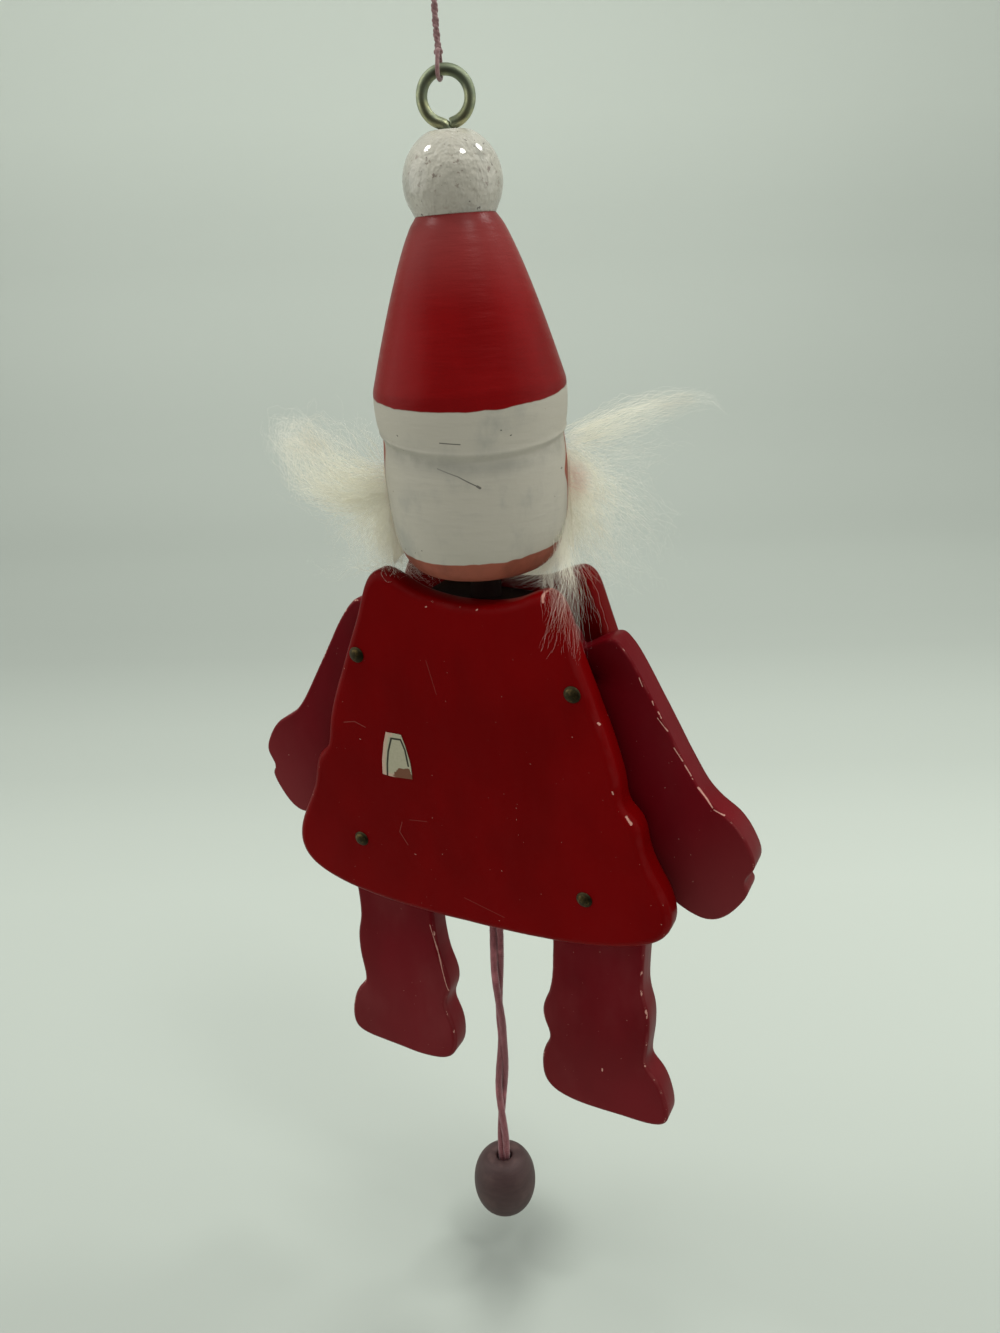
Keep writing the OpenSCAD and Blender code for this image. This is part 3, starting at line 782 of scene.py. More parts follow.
# %% Take a board's outlines from a cut through the solid
def outlines_of(node, depth):
    cut = bmesh.new()
    cut.from_mesh(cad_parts[node].data)
    bmesh.ops.remove_doubles(cut, verts=cut.verts, dist=1e-6)
    everything = cut.verts[:] + cut.edges[:] + cut.faces[:]
    found = bmesh.ops.bisect_plane(cut, geom=everything, plane_co=(0, depth, 0), plane_no=(0, 1, 0))
    edges = [e for e in found["geom_cut"] if isinstance(e, bmesh.types.BMEdge)]
    beside = {}
    for e in edges:
        a, b = e.verts
        beside.setdefault(a, []).append(b)
        beside.setdefault(b, []).append(a)
    loops, left_over = [], set(beside)
    while left_over:
        start = min(left_over, key=lambda v: (v.co.x, v.co.z))
        loop, here = [start], beside[start][0]
        left_over.discard(start)
        while here is not start:
            loop.append(here)
            left_over.discard(here)
            onward = [v for v in beside[here] if v is not loop[-2]]
            here = onward[0]
        loops.append([Vector((v.co.x, v.co.z)) for v in loop])
    cut.free()
    loops.sort(key=lambda loop: -sum((a - b).length for a, b in zip(loop, loop[1:])))
    return [run_left(loop) for loop in loops]


def run_left(loop):
    """The loop with its inside on the left."""
    area = sum(a.x * b.y - b.x * a.y for a, b in zip(loop, loop[1:] + loop[:1]))
    return loop if area > 0 else loop[::-1]


def evenly(loop, spacing):
    lengths = [(b - a).length for a, b in zip(loop, loop[1:] + loop[:1])]
    count = max(24, round(sum(lengths) / spacing))
    step, even, i, done = sum(lengths) / count, [], 0, 0.0
    for k in range(count):
        while done + lengths[i] < k * step - 1e-12:
            done += lengths[i]
            i += 1
        even.append(loop[i].lerp(loop[(i + 1) % len(loop)], (k * step - done) / lengths[i]))
    return even


def relaxed(loop, times):
    for _ in range(times):
        loop = [(loop[i - 1] + 2 * p + loop[(i + 1) % len(loop)]) / 4 for i, p in enumerate(loop)]
    return loop


# %% Build a board up from its outlines
def board(name, loops, y0, y1, rounding, spacing=0.7 * MM, seed=0.0, sawn=0.12 * MM):
    outer = relaxed(evenly(loops[0], spacing), 2)
    count = len(outer)
    inward = []
    for i in range(count):
        along = (outer[(i + 2) % count] - outer[i - 2]).normalized()
        inward.append(Vector((-along.y, along.x)))
    wobble = [noise.noise(Vector((p.x * 160, p.y * 160, seed))) * sawn for p in outer]
    outer = [p + n * (w + 0.5 * sawn) for p, n, w in zip(outer, inward, wobble)]
    steps = 5
    quarter = [math.pi / 2 * k / steps for k in range(steps + 1)]
    bend = [
        (rounding * (1 - math.sin(a)), rounding * (1 - math.cos(a)), math.sin(2 * a) * 0.85 + 0.15)
        for a in quarter
    ]
    rings = [(rounding + 0.5 * MM, y0, 0.0), (rounding + 0.08 * MM, y0, 0.0)]
    rings += [(inset, y0 + depth, wear) for inset, depth, wear in bend]
    rings.append((0.0, (y0 + y1) / 2, 0.05))
    rings += [(inset, y1 - depth, wear) for inset, depth, wear in reversed(bend)]
    rings += [(rounding + 0.08 * MM, y1, 0.0), (rounding + 0.5 * MM, y1, 0.0)]
    insets = {}
    for inset, _, _ in rings:
        if inset not in insets:
            moved = [p + n * inset for p, n in zip(outer, inward)]
            insets[inset] = relaxed(moved, round(6 * inset / spacing)) if inset else moved
    shell = bmesh.new()
    wear_layer = shell.verts.layers.float.new("wear")

    def ring_of(points, y, wear):
        made = [shell.verts.new((p.x, y, p.y)) for p in points]
        for v in made:
            v[wear_layer] = wear
        return made

    def skin(rows):
        for a, b in zip(rows, rows[1:]):
            for k in range(len(a)):
                n = (k + 1) % len(a)
                shell.faces.new((a[k], a[n], b[n], b[k]))

    def edges_of(row):
        return [shell.edges.get((row[k], row[(k + 1) % len(row)])) for k in range(len(row))]

    rows = [ring_of(insets[inset], y, wear) for inset, y, wear in rings]
    skin(rows)
    front, back = edges_of(rows[0]), edges_of(rows[-1])
    for hole in loops[1:]:
        soft = evenly(hole, 0.35 * MM)
        centre = sum(soft, Vector((0, 0))) / len(soft)
        sizes = [(1.0 + 0.25 * MM / (soft[0] - centre).length, y0), (1.0, y0 + 0.25 * MM)]
        sizes += [(size, y0 + y1 - y) for size, y in reversed(sizes)]
        walls = [ring_of([centre + (p - centre) * size for p in soft], y, 0.6) for size, y in sizes]
        skin(walls)
        front += edges_of(walls[0])
        back += edges_of(walls[-1])
    for rim in (front, back):
        bmesh.ops.triangle_fill(shell, edges=rim, use_beauty=True, use_dissolve=False)
    bmesh.ops.recalc_face_normals(shell, faces=shell.faces)
    mesh = bpy.data.meshes.new(name)
    shell.to_mesh(mesh)
    shell.free()
    mesh.shade_smooth()
    return object_of(name, mesh)


# %% [markdown]
# ## The red paint
# The coat is a deep satin red, brushed on. It is darker where the brush left more, duller and
# pinkish where dust and handling have dulled it, and chipped to the bare wood along the edges.
# The brush lines and the grain under the paint are a slight bump. Single chips and scratches
# are short strokes, each masked by its distance from a line across the board.


# %% Masks for strokes and the worn paint
def stroke(tree, place, start, end, half_width, ragged=None):
    """A mask along one line on the X-Z plane, in millimetres."""
    a = Vector((start[0], 0, start[1])) * MM
    b = Vector((end[0], 0, end[1])) * MM
    flat = vector_sum(tree, "MULTIPLY", place, (1, 0, 1))
    off = vector_sum(tree, "SUBTRACT", flat, tuple(a))
    line = b - a
    share = vector_sum(tree, "DOT_PRODUCT", off, tuple(line / line.length_squared))
    share = sum_of(tree, "MINIMUM", sum_of(tree, "MAXIMUM", share, 0.0), 1.0)
    nearest = vector_sum(tree, "SCALE", tuple(line), scale=share)
    far = far_from(tree, off, nearest)
    if ragged is not None:
        far = times_plus(tree, ragged, 2.4 * half_width * MM, far)
    reach = half_width * MM
    return mask(tree, far, reach, reach * 0.6)


def most_of(tree, masks):
    most = masks[0]
    for other in masks[1:]:
        most = sum_of(tree, "MAXIMUM", most, other)
    return most


CHIPPED_WOOD = (0.35, 0.18, 0.145)


def red_paint(
    name, deep, bright, dusty, chips=(), scratches=(), wear=0.5, dust=0.5, front=None, rough=0.36,
    shine=0.03, tip=None, chips_above=0.0,
):
    """Brushed red enamel on a board; front paints more over its front face, and tip gives a point and an
    amount by which the paint turns duller and pinker away from that point.
    """
    material, tree, shader, place = new_finish(name, Specular_IOR_Level=shine)
    broad = cloud(tree, place, 42, (1, 1, 0.6), 3.0)
    strokes = cloud(tree, place, 900, (1, 1, 0.06), 3.0)
    fine = cloud(tree, place, 2300, (1, 1, 1), 2.0)
    paint = mixed(tree, mask(tree, broad, 0.35, 0.68), deep, bright)
    dull = times(tree, mask(tree, cloud(tree, place, 75, (1, 1, 0.5), 4.0), 0.46, 0.8), dust)
    if tip:
        # The paint turns duller and pinker away from this point, towards the limb's end
        far = far_from(tree, place, (tip[0] * MM, 0, tip[1] * MM))
        dull = times_plus(tree, mask(tree, far, 30 * MM, 58 * MM), tip[2], dull)
    paint = mixed(tree, dull, paint, dusty)
    if front:
        paint = front(tree, place, paint, broad)
    edge = attribute(tree, "wear")
    rub = mask(tree, times(tree, edge, cloud(tree, place, 210, (1, 1, 1), 4.0)), 0.36, 0.62)
    paint = mixed(tree, times(tree, rub, 0.25 + 0.4 * wear), paint, dusty)
    flakes = cloud(tree, place, 520, (1, 1, 0.8), 5.0, 0.7)
    chipped = mask(tree, times(tree, edge, flakes), 0.70 - 0.14 * wear, 0.715 - 0.14 * wear)
    specks = cloud(tree, place, 1500, (1, 1, 1), 1.0)
    pecked = mask(tree, specks, 0.80, 0.815)
    bare = [chipped, times(tree, pecked, 0.6)]
    back = along_axis(tree, place, "Y")
    marked = []
    for start, end, half_width in chips:
        marked.append(stroke(tree, place, start, end, half_width, sum_of(tree, "SUBTRACT", flakes, 0.5)))
    for start, end, half_width in scratches:
        marked.append(times(tree, stroke(tree, place, start, end, half_width), 0.13))
    if marked:
        bare.append(times(tree, most_of(tree, marked), mask(tree, back, chips_above, chips_above + 0.4 * MM)))
    bare = most_of(tree, bare)
    wood = mixed(tree, fine, CHIPPED_WOOD, tuple(1.5 * c for c in CHIPPED_WOOD))
    feed(tree, shader, Base_Color=mixed(tree, bare, paint, wood))
    gloss = times_plus(tree, sum_of(tree, "ADD", strokes, dull), 0.16, rough - 0.1)
    gloss = times_plus(tree, bare, 0.35, gloss)
    feed(tree, shader, Roughness=gloss)
    height = times_plus(tree, strokes, 0.15, times(tree, fine, 0.15))
    height = times_plus(tree, cloud(tree, place, 110, (1, 1, 0.4), 2.0), 1.6, height)
    height = times_plus(tree, bare, -1.2, height)
    bumped(tree, shader, height, 0.00008, 0.6)
    return material


# %% [markdown]
# The fronts can't be seen in the photograph. They are painted as such figures usually are: a
# white strip down the coat and along its hem, a black belt with a square buckle, white cuffs,
# dark mittens and black boots. Each is a band across or along the board, with an edge that
# wavers as a hand-held brush does, and only the front faces have them.


# %% What is painted on the fronts
TRIM_WHITE, BELT_BLACK, BUCKLE_YELLOW = (0.34, 0.33, 0.29), (0.011, 0.011, 0.012), (0.42, 0.27, 0.04)
# Only what lies in front of these depths is painted so
COAT_FRONT, LIMB_FRONT = -0.0106, -0.0026


def band(tree, value, low, high, soft=0.18 * MM):
    above = mask(tree, value, low - soft, low + soft)
    return times(tree, above, mask(tree, value, high + soft, high - soft))


def wavering(tree, place, value, reach=0.5 * MM):
    shift = sum_of(tree, "SUBTRACT", cloud(tree, place, 160, (1, 1, 1), 2.0), 0.5)
    return times_plus(tree, shift, 2 * reach, value)


def coat_front(tree, place, paint, broad):
    x, y, z = add(tree, "ShaderNodeSeparateXYZ", {0: place}).outputs
    faces_out = mask(tree, y, COAT_FRONT + 0.2 * MM, COAT_FRONT - 0.2 * MM)
    middle = wavering(tree, place, sum_of(tree, "ADD", x, -COAT_X * MM))
    height = wavering(tree, place, times_plus(tree, x, 0.05, z))
    white = mixed(tree, mask(tree, broad, 0.3, 0.7), TRIM_WHITE, tuple(0.86 * c for c in TRIM_WHITE))
    trim = most_of(tree, [
        band(tree, middle, -4.2 * MM, 4.2 * MM), band(tree, height, -170 * MM, -147.5 * MM),
    ])
    belt = band(tree, height, -128 * MM, -118 * MM)
    wide = band(tree, middle, -6.6 * MM, 6.6 * MM)
    tall = band(tree, height, -129.2 * MM, -116.8 * MM)
    gap = times(tree, band(tree, middle, -4 * MM, 4 * MM), band(tree, height, -126.6 * MM, -119.4 * MM))
    buckle = times(tree, times(tree, wide, tall), sum_of(tree, "SUBTRACT", 1.0, gap))
    shown = mixed(tree, trim, paint, white)
    shown = mixed(tree, belt, shown, BELT_BLACK)
    shown = mixed(tree, buckle, shown, BUCKLE_YELLOW)
    return mixed(tree, faces_out, paint, shown)


def limb_front(pivot, direction, cuff, tip, tip_colour):
    """A white cuff and a dark mitten or boot, by the distance from the nail along the limb."""
    def painted(tree, place, paint, broad):
        y = along_axis(tree, place, "Y")
        faces_out = mask(tree, y, LIMB_FRONT + 0.2 * MM, LIMB_FRONT - 0.2 * MM)
        off = vector_sum(tree, "SUBTRACT", place, tuple(Vector((pivot[0], 0, pivot[1])) * MM))
        down = vector_sum(tree, "DOT_PRODUCT", off, (math.sin(direction), 0, -math.cos(direction)))
        down = wavering(tree, place, down)
        shown = mixed(tree, band(tree, down, cuff[0] * MM, cuff[1] * MM), paint, TRIM_WHITE)
        shown = mixed(tree, band(tree, down, cuff[1] * MM, tip * MM), shown, tip_colour)
        return mixed(tree, faces_out, paint, shown)
    return painted


# %% [markdown]
# ## The coat
# Two panels alike, each 6 mm thick, with the limbs between them. The back one is what the
# photograph shows. Its chips and scratches are put where they are seen.

# %% The two panels of the coat
DEEP_RED, BRIGHT_RED, DUSTY_RED = (0.102, 0.0003, 0.0006), (0.130, 0.0004, 0.0008), (0.142, 0.010, 0.010)
# Each mark's two ends as X and Z, and half its width, all in millimetres
coat_chips = [
    ((-21.6, -80.6), (-21.9, -81.4), 0.4), ((-32.5, -103.6), (-32.8, -104.0), 0.13),
    ((-35.8, -116.9), (-36.0, -117.4), 0.15), ((-38.5, -121.8), (-39.6, -123.1), 0.3),
    ((-8.4, -85.0), (-8.2, -85.1), 0.2), ((2.4, -85.8), (2.6, -85.9), 0.16),
]
coat_scratches = [
    ((24.2, -114.6), (21.5, -113.9), 0.13), ((21.5, -113.9), (18.9, -114.7), 0.13),
    ((11.4, -135.6), (12.2, -138.2), 0.1), ((12.2, -138.2), (10.3, -141.0), 0.12),
    ((9.5, -134.6), (5.2, -133.9), 0.07), ((-3.0, -150.5), (-12.5, -152.6), 0.07),
    ((3.2, -97.0), (1.2, -104.0), 0.06),
]
back_paint = red_paint(
    "satin_red_coat_back", DEEP_RED, BRIGHT_RED, DUSTY_RED, coat_chips, coat_scratches, wear=0.35, dust=0.08,
)
front_paint = red_paint(
    "satin_red_coat_front", DEEP_RED, BRIGHT_RED, DUSTY_RED, wear=0.35, dust=0.15, front=coat_front,
)
# The depths of a panel's inner and outer face, and how far its edges are rounded
PANEL_IN, PANEL_OUT, PANEL_ROUND = 0.005, 0.011, 1.7 * MM
back_cut = outlines_of("back_panel", 0.008)[:1]
coat_back = board("coat_back_board", back_cut, PANEL_IN, PANEL_OUT, PANEL_ROUND, seed=3.0)
register(coat_back, "figure", back_paint, ["back_panel"])
front_cut = outlines_of("front_panel", -0.0098)[:1]
coat_front_board = board("coat_front_board", front_cut, -PANEL_OUT, -PANEL_IN, PANEL_ROUND, seed=7.0)
register(coat_front_board, "figure", front_paint, ["front_panel"])

# %% [markdown]
# ## The arms and legs
# The arms and legs are a duller maroon with pinkish patches of dust, more on the legs, and
# they grow duller and pinker towards the mittens and boots. Their edges are crisper than the
# coat's, and are worn in a fine line. Each has the hole for its nail and the hole for its string.

# %% The four limbs
LIMB_HALF = 0.003
MAROON, MAROON_BRIGHT, MAROON_DUSTY = (0.086, 0.0010, 0.0032), (0.112, 0.0014, 0.005), (0.155, 0.027, 0.028)
arm_edge = [
    ((639, 678), (642.5, 686.5)), ((652, 701.5), (653.5, 705.5)), ((657.5, 718), (667.5, 731.5)),
    ((674, 748), (682.5, 761.5)), ((684.5, 765.5), (691, 776.5)), ((697.5, 788), (712.5, 808)),
    ((714, 810), (724, 816.5)),
]
limb_wear = {
    "right_arm": [(on_board(a, 1000 * LIMB_HALF), on_board(b, 1000 * LIMB_HALF), 0.10) for a, b in arm_edge],
    "left_leg": [((11.2, -167.6), (7.7, -183.7), 0.10), ((7.7, -183.7), (4.9, -197.7), 0.09)],
    "right_leg": [((-46.2, -194.0), (-48.2, -198.0), 0.2), ((-31.8, -192.7), (-31.8, -193.3), 0.2)],
}
# The nail's X and Z, the limb's direction, where the cuff begins and ends, where the tip ends,
# how far the edges are rounded, all in millimetres, and the seed of its sawn edge
limbs = {
    "right_arm": ((-27.6985, -98.5235), math.radians(-31.4), (25.5, 32.5), 60, 0.6, 11.0),
    "left_arm": ((19.4985, -98.5235), math.radians(31.4), (25.5, 32.5), 60, 0.6, 13.0),
    "right_leg": ((-30.4697, -142.5675), math.radians(-1.4), (38, 46), 72, 1.0, 17.0),
    "left_leg": ((22.2697, -142.5675), math.radians(-1.4), (40, 48.5), 76, 1.0, 19.0),
}
for node, (pivot, direction, cuff, tip, rounding, seed) in limbs.items():
    is_leg = node.endswith("leg")
    tip_colour = BELT_BLACK if is_leg else (0.010, 0.035, 0.016)
    paint = red_paint(
        "maroon_" + node, MAROON, MAROON_BRIGHT, MAROON_DUSTY, limb_wear.get(node, ()), wear=0.95,
        dust=0.36 if is_leg else 0.12, front=limb_front(pivot, direction, cuff, tip, tip_colour), rough=0.4,
        shine=0.06, tip=(*pivot, 0.2 if is_leg else 0.6), chips_above=2.2 * MM,
    )
    limb = board(
        node + "_board", outlines_of(node, 0.0), -LIMB_HALF, LIMB_HALF, rounding * MM,
        spacing=0.55 * MM, seed=seed,
    )
    register(limb, node, paint, [node])

# %% [markdown]
# ## The nails
# Four brass nails hold the panels together, and the limbs turn on them. All are alike, so one
# nail is turned on the lathe and a Geometry Nodes tree sets it at four points. Its head is a
# low dome, browned and green with age, with its rim darkened by painted shade where it meets
# the board.


# %% The aged brass of the nails and the eye
def brass_finish(name, clean, aged, age_level, scale):
    material, tree, shader, place = new_finish(name, Metallic=1.0)
    stain = cloud(tree, place, scale, (1, 1, 1), 5.0, 0.65)
    fine = cloud(tree, place, scale * 6, (1, 1, 1), 3.0)
    # Where the darkening attribute is high the brass takes its aged colour; on the nails' rims that is
    # painted shade
    age = mask(
        tree, times_plus(tree, attribute(tree, "brass_darkening"), 0.5, stain), age_level - 0.16, age_level + 0.16,
    )
    feed(tree, shader, Base_Color=mixed(tree, age, clean, aged))
    rough = times_plus(tree, age, 0.2, 0.3)
    feed(tree, shader, Roughness=times_plus(tree, fine, 0.12, rough))
    bumped(tree, shader, times_plus(tree, stain, 1.0, fine), 0.00003, 0.5)
    return material


nail_brass = brass_finish(
    "browned_nail_brass", (0.20, 0.135, 0.05), (0.055, 0.042, 0.022), age_level=0.42, scale=900,
)

# %% One nail on the lathe, set at four places by a tree
NAIL_R, NAIL_HEAD_R, NAIL_HEAD_H = 0.9, 1.7, 0.8
# How far the dome of the head lies below its top at each radius
dome = [(0.45, 0.02), (0.9, 0.12), (1.25, 0.27), (1.52, 0.47), (1.68, 0.66)]
nail_profile = [(0, NAIL_HEAD_H)] + [(r, NAIL_HEAD_H - below) for r, below in dome]
nail_profile += [(NAIL_HEAD_R, 0.08), (1.62, 0.0), (1.1, -0.01), (NAIL_R, -0.05), (NAIL_R, -18.4), (0, -20.0)]
nail_profile = [(r * MM, z * MM) for r, z in nail_profile]
# The rim of the head, where it meets the board, is darkened with painted shade
nail_rims = {"brass_darkening": lambda p, a, z: 1.0 if p.length > 1.5 * MM and z > -1 * MM else 0.0}
lies_back = Matrix.Rotation(math.radians(-90), 4, "X")
nail_pattern = turned("nail_pattern", nail_profile, 28, lies_back, values=nail_rims)


def nails_tree(material):
    tree, given = new_tree("nails_at_points", {"Nail": "NodeSocketObject", "Seed": "NodeSocketInt"})
    nail = add(tree, "GeometryNodeObjectInfo", {"Object": given["Nail"]}).outputs["Geometry"]
    turn = add(
        tree, "FunctionNodeRandomValue",
        {0: (0, -math.pi, 0), 1: (0, math.pi, 0), "Seed": given["Seed"]}, data_type="FLOAT_VECTOR",
    )
    spin = add(tree, "FunctionNodeEulerToRotation", {0: turn.outputs[0]}).outputs[0]
    placed = {"Points": given["Path"], "Instance": nail, "Rotation": spin}
    set_in = add(tree, "GeometryNodeInstanceOnPoints", placed)
    end_tree(tree, set_in.outputs[0], material)
    return tree


nail_points = [Vector((limbs[n][0][0], 1000 * PANEL_OUT, limbs[n][0][1])) * MM for n in limbs]
nail_carrier = mesh_of("nail_points", nail_points, [])
nails = grown("four_nails", nail_carrier, nails_tree(nail_brass), {"Nail": nail_pattern, "Seed": 4})
bpy.data.objects.remove(nail_pattern)
register(nails, "figure", nail_brass, [n + "_nail" for n in limbs])

# %% [markdown]
# ## The screw eye
# The eye is one brass wire: a threaded shank that goes down into the head, and a ring bent
# from its upper end. The ring doesn't quite close, and its cut end stands beside the shank.
# The bend is a swept tube, and the thread is a grid round the shank that rises along a helix.

# %% The eye's ring and threaded shank
LEAN = Matrix.Rotation(math.radians(3.2), 4, "Y")
eye_brass = brass_finish("old_eye_brass", (0.50, 0.49, 0.29), (0.27, 0.30, 0.21), age_level=0.60, scale=420)
eye_place = LEAN @ Matrix.Rotation(RING_TURN, 4, "Z")
ring_points = [Vector((0.0, 0, z)) for z in (-6.4, -6.0, -5.6, -5.2)]
ring_points += [Vector((0.03, 0, -4.85)), Vector((0.24, 0, -4.42)), Vector((0.68, 0, -4.08))]
for step in range(67):
    a = math.radians(-73 + 338 * step / 66)
    ring_points.append(Vector((RING_R * math.cos(a), 0.22 * (step / 66 - 0.5), RING_R * math.sin(a))))
ring_points = [eye_place @ (p * MM) for p in ring_points]
radii = [WIRE_R * MM] * len(ring_points)
radii[-1] = 0.9 * WIRE_R * MM
eye_ring = tube("eye_ring", ring_points, radii, 22)
rows, round_count, pitch, core = 150, 24, 0.9, 0.75
thread_points = []
for row in range(rows + 1):
    z = -6.2 - (22.0 - 6.2) * row / rows
    for k in range(round_count):
        a = math.tau * k / round_count
        ridge = 1 - abs(((z / pitch + k / round_count) % 1.0) * 2 - 1)
        start = min(1.0, max(0.0, (-z - 6.2) / 1.2)) if row else 0
        r = core + (WIRE_R - core) * (ridge * start + (1 - start) * 0.9)
        thread_points.append(eye_place @ (Vector((r * math.cos(a), r * math.sin(a), z)) * MM))
thread_points += [eye_place @ (Vector((0, 0, z)) * MM) for z in (-6.2, -23.9)]
thread_faces = ring_faces(rows + 1, round_count)
last = rows * round_count
thread_faces += [(k, (k + 1) % round_count, last + round_count) for k in range(round_count)]
thread_faces += [(last + k, last + (k + 1) % round_count, last + round_count + 1) for k in range(round_count)]
eye_thread = mesh_of("eye_thread", thread_points, thread_faces)
screw_eye = joined("brass_screw_eye", [eye_ring, eye_thread])
# The wire is darker towards the top of the ring and darkest on the shank
brass_darkening = screw_eye.data.attributes.new("brass_darkening", "FLOAT", "POINT")
brass_darkening.data.foreach_set("value", [
    0.9 if v.co.z < -4.6 * MM else 0.35 + 0.3 * (v.co.z / MM / 4) for v in screw_eye.data.vertices
])
register(screw_eye, "figure", eye_brass, ["screw_eye"])

# %% [markdown]
# ## The head
# Hat, band and head are one turned piece. The lathe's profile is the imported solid's, with its
# corners softened by paint. The painted edges waver, so each is kept as a signed distance at
# every point: red over the hat, white over the band and the hair at the back, and flesh for
# the face, which also shows as a strip under the hair. The finish turns each into a mask.

# %% The turned head's profile and its painted edges
HEAD_TURN = math.radians(28)
# How far below the origin the hat, its band, the face and the chin lie, and then their radii
# and heights, in millimetres
HAT_TOP, BAND_TOP, FACE_TOP, CHIN = 17.55, 45.95, 55.75, 80.45
HEAD_R, TIP_R, FACE_R, CHIN_R, CONE_H, FACE_H = 17.5, 6.7, 17.0, 6.0, 28.4, 24.7
cone = [(TIP_R + (HEAD_R - TIP_R) * (i / 16) ** 0.76, -HAT_TOP - CONE_H * i / 16) for i in range(17)]
rolled = [
    (HEAD_R + 0.25 * (math.sin(math.radians(a)) - 1 + math.cos(math.radians(a))), -BAND_TOP - 9.8 * a / 180)
    for a in range(20, 180, 20)
]
cheeks = [
    (FACE_R - 0.42, -FACE_TOP - 0.3), (FACE_R - 0.36, -FACE_TOP - 1.3), (FACE_R - 0.16, -FACE_TOP - 2.6),
]
BULGE = 3.5
for i in range(2, 17):
    t = math.sin(math.pi / 2 * i / 16)
    cheeks.append((CHIN_R + (FACE_R - CHIN_R) * (1 - t**BULGE) ** (1 / BULGE), -FACE_TOP - FACE_H * t))
head_corners = [(0, -HAT_TOP)] + cone + rolled + [(FACE_R + 0.25, -FACE_TOP + 0.55)] + cheeks + [(0, -CHIN)]
head_profile = finely(softened_profile(head_corners, 0.5, 3), 0.55)
head_profile = [(r * MM, z * MM) for r, z in head_profile]


def waver(angle, height, seed, reach, bends=1.6):
    spot = Vector((bends * math.cos(angle), bends * math.sin(angle), seed + height * 0.03))
    return reach * noise.noise(spot) + 0.35 * reach * noise.noise(spot * 3.1)


def from_face(a):
    """Turn from the face's direction, between minus and plus half a turn."""
    return (a - HEAD_TURN + math.pi) % math.tau - math.pi


def tilted(turn, height, back, side):
    """An edge cut by a slanting plane: it lies lower at the back of the head and at one side."""
    return height + back * max(0.0, -math.cos(turn)) - side * math.sin(turn)


def red_edge(p, a, z):
    return z / MM + tilted(from_face(a), 46.5, 2.1, 0.1) + waver(a, 0, 3.0, 0.25, 5.0)


def flesh_edge(p, a, z):
    turn, down = from_face(a), -z / MM - FACE_TOP
    if turn > 0:
        limit = 99 + 7 * math.exp(-((down - 1.5) / 2.2) ** 2)
    else:
        limit = 101 + 8 * math.exp(-((down - 6.0) / 2.6) ** 2)
    side = (math.radians(limit) + waver(a, down * 3, 9.0, 0.03) - abs(turn)) * FACE_R
    under = -z / MM - tilted(turn, 74.3, 1.4, -0.3) + waver(a, 0, 5.0, 0.35, 5.0)
    return max(min(side, down - 0.3), under)


def band_shade(p, a, z):
    """The painted shade under the band, deepest at the step."""
    below = -z / MM - tilted(from_face(a), FACE_TOP - 1.9, 2.7, 0.6)
    return math.exp(-((below - 1.2) / 1.9) ** 2) if z > -CHIN * MM else 0.0


def on_face(a, z):
    """How far aside of the face's middle and below its top a point lies, in millimetres."""
    return from_face(a) * FACE_R, -z / MM - FACE_TOP


def eye_spots(p, a, z):
    turn, down = on_face(a, z)
    return max(1.35 - math.hypot((abs(turn) - 5.6) / 0.85, down - 5.0), -3)


def cheek_glow(p, a, z):
    turn, down = on_face(a, z)
    return max(0.0, 1 - math.hypot(abs(turn) - 8.6, down - 9.2) / 4.2)


def brow_strokes(p, a, z):
    turn, down = on_face(a, z)
    return 0.55 - abs(down - 1.9 - 0.06 * (abs(turn) - 5.6) ** 2) if 3.4 < abs(turn) < 8.0 else -1.0


head_values = {
    "red": red_edge, "flesh": flesh_edge, "eyes": eye_spots, "cheek": cheek_glow, "brow": brow_strokes,
    "shade": band_shade,
}
turned_head = turned("turned_head_and_hat", head_profile, segments=168, values=head_values)
# The step under the band isn't quite level, so the points near it move with it
for v in turned_head.data.vertices:
    near = math.exp(-((v.co.z / MM + FACE_TOP) / 2.6) ** 2)
    if near > 0.01 and v.co.xy.length > 0.012:
        v.co.z -= near * tilted(from_face(math.atan2(v.co.x, -v.co.y)), -1.9, 2.7, 0.6) * MM
turned_head.data.transform(LEAN)

# %% [markdown]
# The white is an oil paint that has gone grey and is full of small marks: grey rubbed
# patches, dark specks, and one long scratch on the hair. The red over it is glossier. Faint
# turning rings run round the whole piece under the paint, and the brush ran round them too.

# %% The head's paint
WHITE, WHITE_GREY, SPECK = (0.358, 0.341, 0.284), (0.29, 0.287, 0.245), (0.05, 0.045, 0.042)
# The long scratch and the row of dark marks, as X and Z in millimetres
SCRATCH = [(-4.9, -57.8), (-8.5, -59.0), (-11.6, -60.7), (-12.0, -61.0)]
MARK = [(-5.8, -53.3), (-9.2, -53.5)]
HAT_RED, HAT_RED_BRIGHT = (0.138, 0.0007, 0.0012), (0.172, 0.0014, 0.002)
FLESH, FLESH_DARK = (0.235, 0.070, 0.043), (0.165, 0.050, 0.031)


def white_paint(tree, place):
    patches = cloud(tree, place, 130, (1, 1, 0.7), 5.0, 0.6)
    streaks = cloud(tree, place, 420, (0.35, 0.35, 2.0), 3.0)
    white = mixed(tree, mask(tree, patches, 0.52, 0.74), WHITE, WHITE_GREY)
    white = mixed(tree, times(tree, mask(tree, streaks, 0.55, 0.8), 0.35), white, WHITE_GREY)
    specks = mask(tree, cloud(tree, place, 760, (1, 1, 1.3), 2.0, 0.5), 0.735, 0.765)
    few = mask(tree, cloud(tree, place, 90, (1, 1, 1), 1.0), 0.46, 0.60)
    specks = times(tree, specks, few)
    return mixed(tree, specks, white, SPECK), streaks, patches


